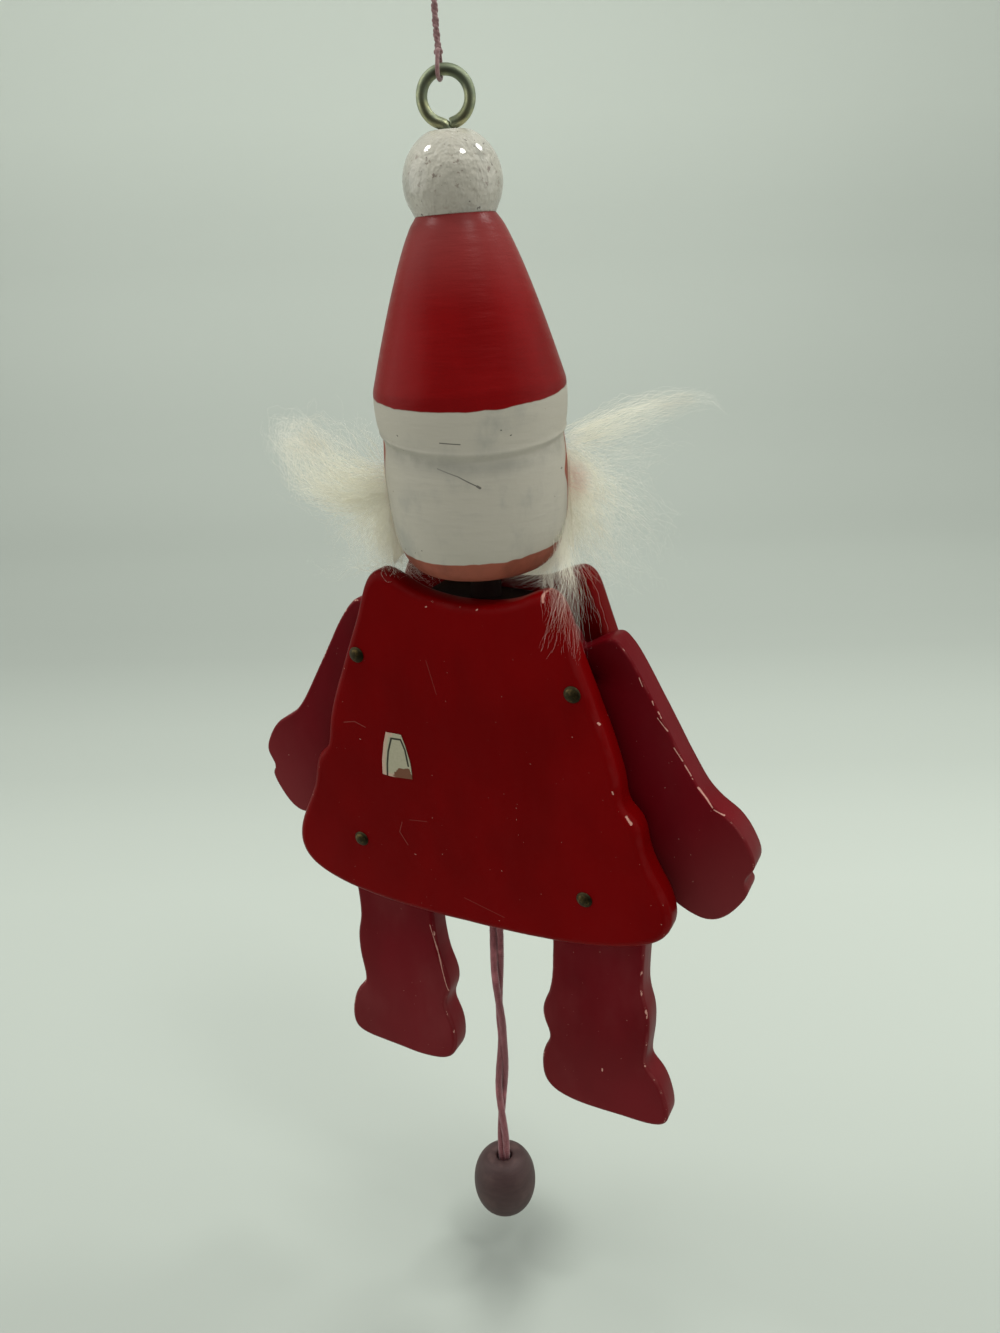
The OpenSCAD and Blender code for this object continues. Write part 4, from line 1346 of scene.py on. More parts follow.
def head_finish():
    material, tree, shader, place = new_finish(
        "painted_head", Specular_IOR_Level=0.07, Coat_Weight=0.02, Coat_Roughness=0.25,
    )
    white, streaks, patches = white_paint(tree, place)
    scratch = most_of(tree, [
        stroke(tree, place, SCRATCH[0], SCRATCH[1], 0.12), stroke(tree, place, SCRATCH[1], SCRATCH[2], 0.13),
        stroke(tree, place, SCRATCH[2], SCRATCH[3], 0.25), stroke(tree, place, MARK[0], MARK[1], 0.12),
    ])
    y = along_axis(tree, place, "Y")
    scratch = times(tree, scratch, mask(tree, y, 0.008, 0.010))
    white = mixed(tree, times(tree, scratch, 0.8), white, SPECK)
    broad = cloud(tree, place, 60, (1, 1, 0.5), 3.0)
    red = mixed(tree, mask(tree, broad, 0.35, 0.7), HAT_RED, HAT_RED_BRIGHT)
    high = along_axis(tree, place, "Z")
    # The hat grows paler and pinker towards its tip: a painted sheen, with a little dust
    painted_sheen_top = times(tree, mask(tree, high, -0.034, -0.018), 0.28)
    red = mixed(tree, painted_sheen_top, red, (0.21, 0.085, 0.08))
    flesh = mixed(tree, mask(tree, patches, 0.4, 0.7), FLESH, FLESH_DARK)
    flesh = mixed(tree, times(tree, attribute(tree, "cheek"), 0.75), flesh, (0.30, 0.035, 0.035))
    flesh = mixed(tree, mask(tree, attribute(tree, "brow"), -0.1, 0.15), flesh, WHITE)
    flesh = mixed(tree, mask(tree, attribute(tree, "eyes"), -0.08, 0.12), flesh, (0.008, 0.008, 0.010))
    # Painted shade under the band, broken up in patches
    shade = times(tree, attribute(tree, "shade"), mask(tree, patches, 0.25, 0.6))
    white = mixed(tree, times(tree, shade, 0.75), white, tuple(0.8 * c for c in WHITE_GREY))
    painted = mixed(tree, mask(tree, attribute(tree, "flesh"), -0.12, 0.12), white, flesh)
    painted = mixed(tree, mask(tree, attribute(tree, "red"), -0.10, 0.10), painted, red)
    feed(tree, shader, Base_Color=painted)
    rough = times_plus(tree, streaks, 0.15, 0.27)
    matt = sum_of(tree, "SUBTRACT", 1.0, mask(tree, attribute(tree, "red"), -0.1, 0.1))
    feed(tree, shader, Roughness=times_plus(tree, matt, 0.16, rough))
    height = times_plus(tree, cloud(tree, place, 300, (0.3, 0.3, 1.8), 2.0), 1.0, streaks)
    height = times_plus(tree, patches, 1.2, height)
    height = times_plus(tree, mask(tree, attribute(tree, "red"), -0.15, 0.15), 0.5, height)
    bumped(tree, shader, height, 0.00013, 0.7)
    return material


head_paint = head_finish()
register(turned_head, "figure", head_paint, ["turned_head"])

# %% [markdown]
# ## The ball on the hat
# The ball is a turned sphere with two flats, painted with the same white but glossier. The
# eye's shank goes down through it. The paint has filled the corner between ball and hat.


# %% The ball
def ball_finish():
    material, tree, shader, place = new_finish(
        "glossy_white_ball", Coat_Weight=0.8, Coat_Roughness=0.06,
    )
    white, streaks, patches = white_paint(tree, place)
    grime = mask(tree, cloud(tree, place, 700, (1, 1, 1), 4.0, 0.7), 0.575, 0.665)
    high = along_axis(tree, place, "Z")
    grime = times(tree, grime, band(tree, high, -0.0142, -0.0085, 0.0015))
    white = mixed(tree, times(tree, grime, 0.7), white, (0.13, 0.085, 0.065))
    spots = mask(tree, cloud(tree, place, 1150, (1, 1, 1), 1.0), 0.73, 0.76)
    white = mixed(tree, times(tree, spots, 0.8), white, (0.05, 0.03, 0.028))
    feed(tree, shader, Base_Color=white)
    feed(tree, shader, Roughness=times_plus(tree, streaks, 0.15, 0.4))
    height = times_plus(tree, cloud(tree, place, 330, (1, 1, 0.7), 3.0), 1.0, patches)
    height = times_plus(tree, cloud(tree, place, 950, (1, 1, 1), 1.0), 0.3, height)
    bumped(tree, shader, height, 0.0009, 1.0)
    return material


BALL_R, BALL_MIDDLE, BALL_TOP = 8.55, 5.0 + 12.6 * 0.615, 5.0
ball_corners = [(0, -BALL_TOP)]
for step in range(33):
    a = math.pi * step / 32
    z = -BALL_MIDDLE + BALL_R * math.cos(a)
    if -HAT_TOP + 0.15 < z < -BALL_TOP - 0.05:
        ball_corners.append((BALL_R * math.sin(a), z))
foot_r = math.sqrt(BALL_R**2 - (HAT_TOP - BALL_MIDDLE) ** 2)
top_r = math.sqrt(BALL_R**2 - (BALL_MIDDLE - BALL_TOP) ** 2)
ball_corners.insert(1, (top_r, -BALL_TOP))
ball_corners += [
    (foot_r + 0.05, -HAT_TOP - 0.05), (TIP_R + 0.25, -HAT_TOP - 0.38), (TIP_R - 0.6, -HAT_TOP - 0.5),
    (0, -HAT_TOP - 0.5),
]
ball_profile = [(r * MM, z * MM) for r, z in softened_profile(ball_corners, 0.6, 3)]
hat_ball = turned("hat_ball_enamel", ball_profile, segments=96, place=LEAN)
register(hat_ball, "figure", ball_finish(), ["hat_ball"])

# %% [markdown]
# ## The nose
# The nose is a small wooden ball on a peg, glued into the face and painted like it. Most of
# it is lost in the wool.

# %% The nose
nose_place = LEAN @ Matrix.Rotation(HEAD_TURN, 4, "Z")
nose_corners = []
for step in range(19):
    a = math.pi * step / 18
    nose_corners.append((2.5 * math.sin(a) if 0 < step < 18 else 0, 2.5 * math.cos(a)))
nose_profile = [(r * MM, z * MM) for r, z in nose_corners]
nose_middle = Matrix.Translation(Vector((0, -FACE_R - 1.75, -FACE_TOP - FACE_H * 0.36)) * MM)
nose = turned("nose_ball", nose_profile, segments=36, place=nose_place @ nose_middle @ lies_back)


def nose_finish():
    material, tree, shader, place = new_finish("painted_nose", Roughness=0.35)
    patches = cloud(tree, place, 420, (1, 1, 1), 4.0)
    tone = mixed(tree, mask(tree, patches, 0.4, 0.7), (0.30, 0.075, 0.055), (0.24, 0.05, 0.04))
    feed(tree, shader, Base_Color=tone)
    bumped(tree, shader, patches, 0.0001, 0.6)
    return material


register(nose, "figure", nose_finish(), ["nose"])

# %% [markdown]
# ## Dark wood and glue at the neck
# The dowel and the block keep the shapes of their solids. Both look nearly black in the gap
# between the panels, so their beech is stained dark and painted darker still with the gap's
# shade. The glue that was brushed on the dowel has run out under the chin and dried in a
# shiny blob.


# %% Beech for the dowel and the block
def beech_finish():
    material, tree, shader, place = new_finish("stained_and_shaded_beech", Roughness=0.7, Specular_IOR_Level=0.1)
    grain = cloud(tree, place, 700, (1, 1, 0.08), 4.0)
    flecks = mask(tree, cloud(tree, place, 1600, (1, 1, 0.22), 2.0), 0.6, 0.72)
    # Nearly black: a dark stain, and painted shade for the gap between the panels
    tone = mixed(tree, grain, (0.010, 0.004, 0.003), (0.020, 0.008, 0.006))
    tone = mixed(tree, times(tree, flecks, 0.5), tone, (0.006, 0.003, 0.002))
    feed(tree, shader, Base_Color=tone)
    bumped(tree, shader, grain, 0.0001, 0.7)
    return material


beech = beech_finish()
for node in ("neck_dowel", "neck_block"):
    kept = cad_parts[node]
    kept.data.materials.clear()
    kept.data.materials.append(beech)

glue_finish, glue_tree, glue_shader, glue_spot = new_finish(
    "dried_glue", Roughness=0.18, Transmission_Weight=0.35,
)
glue_tone = mixed(glue_tree, cloud(glue_tree, glue_spot, 600), (0.42, 0.30, 0.16), (0.52, 0.42, 0.26))
feed(glue_tree, glue_shader, Base_Color=glue_tone)
glue_points = bmesh.new()
bmesh.ops.create_icosphere(glue_points, subdivisions=4, radius=1.0)
for v in glue_points.verts:
    around = 1 + 0.16 * noise.noise(v.co * 1.7)
    v.co = Vector((v.co.x * 4.6 * around, v.co.y * 4.6 * around, v.co.z * 0.95 * around))
    v.co = LEAN @ ((v.co + Vector((0, 0, -CHIN - 0.25))) * MM)
glue_mesh = bpy.data.meshes.new("neck_glue")
glue_points.to_mesh(glue_mesh)
glue_points.free()
glue_mesh.shade_smooth()
neck_glue = object_of("neck_glue", glue_mesh)
register(neck_glue, "figure", glue_finish)

# %% [markdown]
# ## The cross strings
# Inside the coat, one string joins the two arms and one joins the two legs. Each has an eye
# tied through the lever of each limb, and the pull string is tied to its middle. They are
# short ties, drawn as tubes with a knot at each eye. They go down with the pull string.

# %% The strings between the arms and between the legs
ARM_HOLES, LEG_HOLES = (-20.215, 12.015), (-21.81, 13.61)
TIE_R, TIE_SAG, EYE_REACH, EYE_HALF = 0.5, 1.1, 4.1, (2.05, 4.05)


def squared(v):
    """Pushes the sine or cosine of a circle outward, so that the circle nears a rounded box."""
    return math.copysign(abs(v) ** 0.6, v)


def cross_string(name, holes, z):
    right_x, left_x = holes
    middle, half = (left_x + right_x) / 2, (left_x - right_x) / 2 - EYE_REACH
    path = []
    for step in range(41):
        t = step / 20 - 1
        path.append(Vector((middle + t * half, 0.12 * math.sin(step * 0.9), z - TIE_SAG * (1 - t * t))) * MM)
    parts = [tube(name + "_run", path, TIE_R * MM, 10)]
    for side, x in ((1, left_x), (-1, right_x)):
        eye = []
        for step in range(36):
            a = math.tau * step / 36
            aside, forward = EYE_HALF[0] * squared(math.cos(a)), EYE_HALF[1] * squared(math.sin(a))
            eye.append(Vector((x - side * EYE_HALF[0] + aside, forward, z)) * MM)
        parts.append(tube(name + "_eye", eye, TIE_R * MM, 10, closed=True))
        parts.append(knot(name + "_hitch", (x - side * EYE_REACH, 0, z), 0.62, 0.36, upright))
    parts.append(knot(name + "_middle_hitch", (middle, 0, z - TIE_SAG), 1.1, 0.5, upright))
    return joined(name, parts)


arm_tie = cross_string("arm_cross_string", ARM_HOLES, -93.52)
register(arm_tie, "pull", pull_finish, ["arm_string"])
leg_tie = cross_string("leg_cross_string", LEG_HOLES, -137.57)
register(leg_tie, "pull", pull_finish, ["leg_string"])

# %% [markdown]
# ## The paper sticker
# A small paper sticker is stuck low on the back panel. It is bare but for a dark line that
# follows its arch, and its lower corner has torn off, which leaves a brown patch of old glue.
# Its corners are placed by where the photograph shows them. It is a very thin sheet of rows
# of points, and the line is drawn by the finish.

# %% The sticker
STICKER_X, STICKER_Z = 11.70, -119.24
# How far back the sticker's glued side and its visible side lie
STICKER_BACK, STICKER_FACE = 11.03, 11.1
outline_seen = [(412.4, 779.5), (410.3, 763.7), (405.3, 747), (400.8, 734.9), (385.8, 732), (383.7, 742.8),
                (382.2, 760), (382.8, 773.7), (392, 776.6)]
line_seen = [
    (387.6, 775.3), (387.4, 763.7), (388.3, 751.2), (391.2, 738.3), (400.6, 739.7), (405, 750.3),
    (408.3, 766),
]
torn_seen = [(413.5, 781), (409.5, 768.5), (399.5, 768.6), (394.5, 772), (393, 778)]
sticker_outline, torn_outline = [
    [(x - STICKER_X, z - STICKER_Z) for x, z in (on_board(p, STICKER_FACE) for p in seen)]
    for seen in (outline_seen, torn_seen)
]


def inside(x, z, outline):
    """How far a point is inside an outline, in millimetres."""
    return min(
        ((bx - ax) * (z - az) - (bz - az) * (x - ax)) / math.hypot(bx - ax, bz - az) * -1
        for (ax, az), (bx, bz) in zip(outline, outline[1:] + outline[:1])
    )


def sticker_finish():
    material, tree, shader, place = new_finish("aged_paper", Roughness=0.7, Specular_IOR_Level=0.2)
    fibres = cloud(tree, place, 1900, (1, 1, 1), 4.0)
    tone = mixed(tree, fibres, (0.255, 0.245, 0.165), (0.34, 0.325, 0.235))
    tone = mixed(tree, times(tree, attribute(tree, "rim"), 0.7), tone, (0.42, 0.27, 0.21))
    line = [on_board(p, STICKER_FACE) for p in line_seen]
    drawn = most_of(tree, [stroke(tree, place, a, b, 0.27) for a, b in zip(line, line[1:])])
    tone = mixed(tree, times(tree, drawn, 0.95), tone, (0.013, 0.013, 0.008))
    feed(tree, shader, Base_Color=mixed(tree, attribute(tree, "bare"), tone, (0.125, 0.052, 0.027)))
    bumped(tree, shader, fibres, 0.00005, 0.5)
    return material


columns, rows = 56, 90
low_z, high_z = min(z for x, z in sticker_outline) + 0.03, max(z for x, z in sticker_outline) - 0.03
sticker_points, rim_values, bare_values = [], [], []
for layer in (0, 1):
    for row in range(rows + 1):
        z = low_z + (high_z - low_z) * row / rows
        spans = [x / 50 for x in range(-250, 251) if inside(x / 50, z, sticker_outline) >= -0.012]
        start, end = (spans[0], spans[-1]) if spans else (0, 0)
        for column in range(columns + 1):
            x = start + (end - start) * column / columns
            ragged = 0.25 * noise.noise(Vector((1.7 * x, z * 1.7, 5)))
            torn = inside(x, z, torn_outline) + ragged > 0
            curl = 0.16 * max(0.0, (z - low_z) / (high_z - low_z) - 0.8) + (0 if torn else 0.03)
            y = STICKER_BACK + (0.07 + curl) * layer
            sticker_points.append(Vector((STICKER_X + x, y, STICKER_Z + z)) * MM)
            depth = inside(x, z, sticker_outline) + 0.3 * ragged
            rim_values.append(min(1.0, max(0.0, (1.0 - depth) / 0.5)) if x > 0.5 or z < low_z + 1.2 else 0.0)
            bare_values.append(1.0 if torn else 0.0)
layer_size = (rows + 1) * (columns + 1)
sticker_faces = grid_faces(rows + 1, columns + 1) + grid_faces(rows + 1, columns + 1, layer_size)
rim = [(0, c) for c in range(columns)] + [(r, columns) for r in range(rows)]
rim += [(rows, c) for c in range(columns, 0, -1)] + [(r, 0) for r in range(rows, 0, -1)]
for (r, c), (nr, nc) in zip(rim, rim[1:] + rim[:1]):
    a, b = r * (columns + 1) + c, nr * (columns + 1) + nc
    sticker_faces.append((a, b, b + layer_size, a + layer_size))
sticker = mesh_of(
    "bare_paper_sticker", sticker_points, sticker_faces, {"rim": rim_values, "bare": bare_values},
)
register(sticker, "figure", sticker_finish(), ["paper_sticker"])

# %% [markdown]
# ## The wool
# The beard is a lock of real wool glued round the face. From behind, a tuft sticks out at each
# side: a bright rolled curl on one, and on the other a thin fan with one long wisp, while some
# strands fall over the shoulder. Wool could be made as hair curves, but those don't export.
# So guide paths say how the wool runs, and a tree copies each guide many times, moves every
# copy at random, waves it, trims it and gives it a thin three-sided thread.


# %% The finish of the wool
BLUSH_PLACE = (-0.0195, -0.0070, -0.0640)


def wool_finish():
    material, tree, shader, place = new_finish(
        "cream_wool", Roughness=0.62, Sheen_Weight=0.3, Sheen_Roughness=0.4, Specular_IOR_Level=0.3,
    )
    strand = attribute(tree, "strand")
    tone = mixed(tree, strand, (0.90, 0.885, 0.78), (0.98, 0.97, 0.90))
    yellowed = mask(tree, cloud(tree, place, 95, (1, 1, 1), 2.0), 0.55, 0.8)
    tone = mixed(tree, times(tree, yellowed, 0.5), tone, (0.66, 0.56, 0.38))
    grubby = mask(tree, cloud(tree, place, 420, (1, 1, 1), 3.0), 0.70, 0.78)
    tone = mixed(tree, times(tree, grubby, 0.45), tone, (0.36, 0.27, 0.19))
    # Paint from the cheek has tinted the wool beside it
    off = far_from(tree, place, BLUSH_PLACE)
    tone = mixed(tree, times(tree, mask(tree, off, 5 * MM, 1 * MM), 0.45), tone, (0.62, 0.25, 0.22))
    feed(tree, shader, Base_Color=tone)
    # Light is scattered many times inside wool, and a slight glow stands in for that
    feed(tree, shader, Emission_Color=tone)
    shader.inputs["Emission Strength"].default_value = 0.10
    see_through = add(tree, "ShaderNodeBsdfTranslucent", {"Color": tone}).outputs[0]
    both = add(tree, "ShaderNodeMixShader", {0: 0.6, 1: shader.outputs[0], 2: see_through}).outputs[0]
    output = next(n for n in tree.nodes if n.type == "OUTPUT_MATERIAL")
    tree.links.new(both, output.inputs["Surface"])
    return material


wool = wool_finish()


# %% The tree that grows wool along guides
def wool_tree(material):
    sizes = {
        "Points": "NodeSocketInt", "Thread": "NodeSocketFloat", "Wave": "NodeSocketFloat",
        "Wave size": "NodeSocketFloat", "Frizz": "NodeSocketFloat", "Shortest": "NodeSocketFloat",
        "Seed": "NodeSocketInt", "Swing": "NodeSocketFloat",
    }
    tree, given = new_tree("wool_on_guides", sizes)
    curve = add(tree, "GeometryNodeMeshToCurve", {"Mesh": given["Path"]}).outputs[0]
    smooth = add(tree, "GeometryNodeCurveSplineType", {"Curve": curve}, spline_type="CATMULL_ROM")
    curve = add(tree, "GeometryNodeResampleCurve", {"Curve": smooth.outputs[0], "Count": given["Points"]})
    many = add(tree, "GeometryNodeInputNamedAttribute", {"Name": "many"}, data_type="FLOAT").outputs[0]
    amount = add(tree, "GeometryNodeFieldOnDomain", {0: many}, domain="CURVE", data_type="FLOAT").outputs[0]
    copies = add(
        tree, "GeometryNodeDuplicateElements", {"Geometry": curve.outputs[0], "Amount": amount},
        domain="SPLINE",
    )
    number = add(tree, "GeometryNodeInputIndex").outputs[0]

    def per_strand(low, high, seed, kind="FLOAT_VECTOR"):
        values = {0: low, 1: high} if kind == "FLOAT_VECTOR" else {2: low, 3: high}
        chance = add(tree, "FunctionNodeRandomValue", {**values, "ID": number, "Seed": seed}, data_type=kind)
        out = chance.outputs[0 if kind == "FLOAT_VECTOR" else 1]
        return add(tree, "GeometryNodeFieldOnDomain", {0: out}, domain="CURVE", data_type=kind).outputs[0]

    seed = given["Seed"]
    other_seed = sum_of(tree, "ADD", seed, 17.0)
    third_seed = sum_of(tree, "ADD", seed, 43.0)
    way = per_strand((-1, -1, -1), (1, 1, 1), seed)
    second = per_strand((-1, -1, -1), (1, 1, 1), other_seed)
    cut = per_strand(0.0, 1.0, third_seed, "FLOAT")
    along = add(tree, "GeometryNodeSplineParameter").outputs["Factor"]
    spread = add(tree, "GeometryNodeInputNamedAttribute", {"Name": "spread"}, data_type="FLOAT").outputs[0]
    # The product of two random vectors gathers most strands near the guide, with a few far off
    size = vector_sum(tree, "LENGTH", second)
    away = vector_sum(tree, "SCALE", way, scale=times(tree, spread, times(tree, size, 0.85)))
    place = add(tree, "GeometryNodeInputPosition").outputs[0]
    own = vector_sum(tree, "SCALE", way, scale=7.0)
    near = vector_sum(tree, "ADD", vector_sum(tree, "SCALE", place, scale=given["Wave size"]), own)
    wave = add(tree, "ShaderNodeTexNoise", {"Vector": near, "Scale": 1.0, "Detail": 1.0}).outputs["Color"]
    wave = vector_sum(tree, "SUBTRACT", wave, (0.5, 0.5, 0.5))
    reach = times(tree, given["Wave"], sum_of(tree, "POWER", along, 0.7))
    waved = vector_sum(tree, "SCALE", wave, scale=reach)
    small = vector_sum(
        tree, "ADD", vector_sum(tree, "SCALE", place, scale=900.0),
        vector_sum(tree, "SCALE", second, scale=19.0),
    )
    frizz = add(tree, "ShaderNodeTexNoise", {"Vector": small, "Scale": 1.0, "Detail": 0.0}).outputs["Color"]
    frizz = vector_sum(
        tree, "SCALE", vector_sum(tree, "SUBTRACT", frizz, (0.5, 0.5, 0.5)), scale=given["Frizz"],
    )
    wide = vector_sum(tree, "SCALE", place, scale=times(tree, given["Wave size"], 0.36))
    wide = vector_sum(tree, "ADD", wide, vector_sum(tree, "SCALE", second, scale=11.0))
    swing = add(tree, "ShaderNodeTexNoise", {"Vector": wide, "Scale": 1.0, "Detail": 0.0}).outputs["Color"]
    swing = vector_sum(tree, "SUBTRACT", swing, (0.5, 0.5, 0.5))
    swing = vector_sum(tree, "SCALE", swing, scale=times(tree, reach, given["Swing"]))
    waved = vector_sum(tree, "ADD", waved, swing)
    move = vector_sum(tree, "ADD", away, vector_sum(tree, "ADD", waved, frizz))
    moved = add(tree, "GeometryNodeSetPosition", {"Geometry": copies.outputs[0], "Offset": move}).outputs[0]
    shade = add(
        tree, "GeometryNodeStoreNamedAttribute", {"Geometry": moved, "Name": "strand", "Value": cut},
        data_type="FLOAT", domain="POINT",
    ).outputs[0]
    span = sum_of(tree, "SUBTRACT", 1.0, given["Shortest"])
    end = times_plus(tree, cut, span, given["Shortest"])
    trimmed = add(tree, "GeometryNodeTrimCurve", {"Curve": shade, 3: end}, mode="FACTOR").outputs[0]
    thin = sum_of(tree, "SUBTRACT", 1.0, times(tree, sum_of(tree, "POWER", along, 2.0), 0.7))
    # The longest strands are the finest, so the tuft's edge is soft
    coarse = times_plus(tree, cut, -0.8, 1.3)
    thin = times(tree, thin, coarse)
    ring = add(
        tree, "GeometryNodeCurvePrimitiveCircle", {"Resolution": 3, "Radius": given["Thread"]},
    ).outputs[0]
    mesh = add(
        tree, "GeometryNodeCurveToMesh",
        {"Curve": trimmed, "Profile Curve": ring, "Scale": thin, "Fill Caps": True},
    )
    end_tree(tree, mesh.outputs[0], material)
    return tree


wool_growth = wool_tree(wool)


def lock_of_wool(
    name, guides, seed, points=10, thread=0.030, wave=3.0, wave_size=160.0, frizz=0.5, shortest=0.55,
    fluff=0.0, swing=0.0,
):
    """guides: paths in millimetres, each with its strands and its spread at root and tip."""
    paths, many, spread = [], [], []
    for path, strands, root, tip in guides:
        paths.append(millimetres(path))
        for i in range(len(path)):
            many.append(float(strands))
            t = i / (len(path) - 1)
            spread.append((root + (tip - root) * t + fluff * math.sin(math.pi * min(1.0, t * 1.2))) * MM)
    carrier = carrier_of(name + "_guides", paths, {"many": many, "spread": spread})
    sizes = {
        "Points": points, "Thread": thread * MM, "Wave": wave * MM, "Wave size": wave_size,
        "Frizz": frizz * MM, "Shortest": shortest, "Seed": seed, "Swing": swing,
    }
    register(grown(name, carrier, wool_growth, sizes), "figure", wool)


# %% [markdown]
# The left tuft rolls up and back on itself. Its guides run out from the cheek, turn over and
# come back, which leaves a bright thick edge. Below it the wool hangs looser, and one thin
# lock has slipped out over the shoulder. A few strands stand up by the hat's band.

# %% The tuft on the photograph's left
FACE_WAY = Vector((math.sin(HEAD_TURN), -math.cos(HEAD_TURN), 0))
HEAD_MIDDLE = LEAN @ Vector((0, 0, -68 * MM))


def beside_head(pixels):
    """A path seen through pixels, on planes square to the face; the third number is how far forward."""
    return [
        tuple(seen_on_plane(p[:2], HEAD_MIDDLE + FACE_WAY * p[2] * MM, FACE_WAY)) for p in pixels
    ]


left_curl = [
    (beside_head([(384, 488, -1), (362, 497, 0), (338, 495, 0), (315, 482, 1), (298, 464, 1), (290, 444, 2),
                  (298, 428, 3), (314, 430, 4), (322, 446, 4)]), 210, 2.2, 3.0),
    (beside_head([(384, 480, -1), (362, 482, -1), (340, 476, -1), (322, 460, -1), (308, 444, 0),
                  (294, 442, 1), (288, 456, 2), (298, 470, 3)]), 190, 2.2, 3.0),
    (beside_head([(384, 496, 0), (360, 504, 0), (336, 502, 1), (312, 491, 2), (296, 474, 2),
                  (284, 456, 3)]), 130, 2.0, 2.6),
    (beside_head([(384, 470, -1), (364, 470, 0), (346, 461, 0), (332, 446, 0), (316, 433, 1), (298, 428, 1),
                  (286, 440, 1)]), 80, 2.2, 3.4),
]
left_low = [
    (beside_head([(388, 498, -1), (372, 504, 0), (360, 518, 0), (358, 538, 1), (370, 556, 2)]),
     240, 2.6, 3.6),
    (beside_head([(390, 512, -1), (380, 524, 0), (373, 542, 1), (382, 562, 3)]), 270, 2.4, 3.4),
    (beside_head([(394, 528, 0), (388, 546, 1), (394, 562, 3), (412, 574, 5)]), 260, 2.0, 2.4),
    (beside_head([(390, 536, 2), (398, 552, 4), (412, 566, 6), (436, 578, 8)]), 110, 1.6, 1.6),
    (beside_head([(384, 462, -1), (372, 446, 0), (362, 432, 1), (350, 418, 2)]), 34, 2.0, 3.6),
    (beside_head([(398, 558, 3), (372, 563, 2), (345, 567, 1), (325, 567, 0), (309, 561, 0)]), 22, 1.1, 0.5),
]
lock_of_wool(
    "wool_left_curl", left_curl, 11, points=42, thread=0.020, wave=7.0, wave_size=310, frizz=1.2,
    shortest=0.35, fluff=0.8, swing=1.5,
)
lock_of_wool(
    "wool_left_tuft", left_low, 23, points=30, thread=0.017, wave=7.5, wave_size=290, frizz=1.2,
    shortest=0.35, fluff=1.2, swing=1.5,
)

# %% [markdown]
# The right tuft is thinner and spreads like a fan, so the paper shows through it. One long
# wisp stands up and out from the hat's band. Some strands fall over the shoulder and lie on
# the coat's back, and a little fluff is caught under the chin.

# %% The fan, the wisp and the strands on the photograph's right
right_fan = [
    (beside_head([(568, 470, -1), (600, 464, 0), (635, 458, 1), (664, 450, 2)]), 62, 2.6, 5.0),
    (beside_head([(568, 480, -1), (598, 486, 0), (628, 504, 1), (650, 532, 2), (658, 560, 3)]),
     110, 2.6, 4.6),
    (beside_head([(569, 498, -1), (592, 515, 0), (616, 545, 1), (638, 578, 2)]), 130, 2.8, 4.6),
    (beside_head([(569, 515, -1), (585, 540, 0), (602, 564, 0), (622, 582, 1)]), 130, 2.6, 4.2),
    (beside_head([(568, 450, -1), (584, 468, 0), (594, 498, 0), (592, 538, 0), (584, 566, 0)]),
     230, 2.4, 3.6),
    (beside_head([(568, 440, -1), (600, 440, 0), (640, 438, 1), (676, 440, 2)]), 44, 2.4, 4.6),
    (beside_head([(567, 520, -1), (574, 540, 0), (578, 560, 0), (576, 582, 0)]), 150, 1.8, 2.8),
]
right_wisp = [
    (beside_head([(572, 438, -1), (600, 427, 0), (640, 411, 1), (682, 402, 2), (708, 400, 3),
                  (724, 411, 3)]), 110, 1.8, 1.0),
    (beside_head([(585, 436, -1), (622, 421, 0), (660, 409, 2), (696, 402, 3)]), 70, 2.2, 2.2),
]
shoulder_strands = [
    ([(-18.6, -5.4, -69.0), (-21.4, 0.5, -74.5), (-24.3, 6.0, -77.2), (-26.0, 11.9, -80.2),
      (-25.1, 12.3, -85.9), (-23.3, 12.2, -90.4)], 75, 1.7, 2.4),
    ([(-18.8, -5.6, -71.0), (-22.4, 2.0, -76.0), (-26.7, 9.2, -78.0), (-28.4, 12.4, -81.5),
      (-28.9, 12.4, -86.1), (-28.6, 12.2, -90.6)], 90, 1.7, 2.4),
    ([(-19.0, -6.0, -72.0), (-24.0, 3.0, -76.5), (-29.2, 9.4, -78.4), (-31.9, 12.4, -80.4),
      (-33.3, 12.6, -84.8), (-33.0, 12.3, -88.3)], 22, 1.6, 1.7),
    ([(-18.0, -4.0, -74.0), (-18.5, 1.0, -78.5), (-20.5, 5.0, -80.6), (-22.6, 9.5, -80.4),
      (-24.5, 11.9, -83.4)], 110, 1.6, 1.9),
    ([(-16.8, -8.1, -79.0), (-13.8, -5.3, -81.4), (-11.1, -2.8, -82.6), (-7.3, -0.8, -83.4)], 100, 1.6, 1.4),
    ([(-18.0, -6.5, -75.5), (-18.5, -3.5, -79.2), (-17.5, 0.5, -81.2), (-14.5, 2.0, -82.0)], 110, 1.5, 1.5),
]
lock_of_wool(
    "wool_right_fan", right_fan, 31, points=32, thread=0.015, wave=7.0, wave_size=280, frizz=1.2,
    shortest=0.25, fluff=1.2, swing=1.8,
)
lock_of_wool(
    "wool_long_wisp", right_wisp, 41, points=40, thread=0.015, wave=4.0, wave_size=260, frizz=0.9,
    shortest=0.5, fluff=1.0, swing=1.0,
)
lock_of_wool(
    "wool_over_shoulder", shoulder_strands, 53, points=26, thread=0.017, wave=3.0, wave_size=190,
    frizz=0.6, shortest=0.35,
)

# %% [markdown]
# The front of the beard can't be seen in the photograph. It fills the space of its solid: a
# soft core is glued round the face from ear to ear, and locks comb down over it and hang in
# front of the coat. A shorter moustache is parted under the nose.

# %% The core, the bib and the moustache
BEARD_REACH = math.radians(84)


def round_head(turn, out, z):
    """A point beside the head's axis: turned from the face's direction, at a radius, in millimetres."""
    p = Vector((out * math.sin(HEAD_TURN + turn), -out * math.cos(HEAD_TURN + turn), z))
    return LEAN @ p


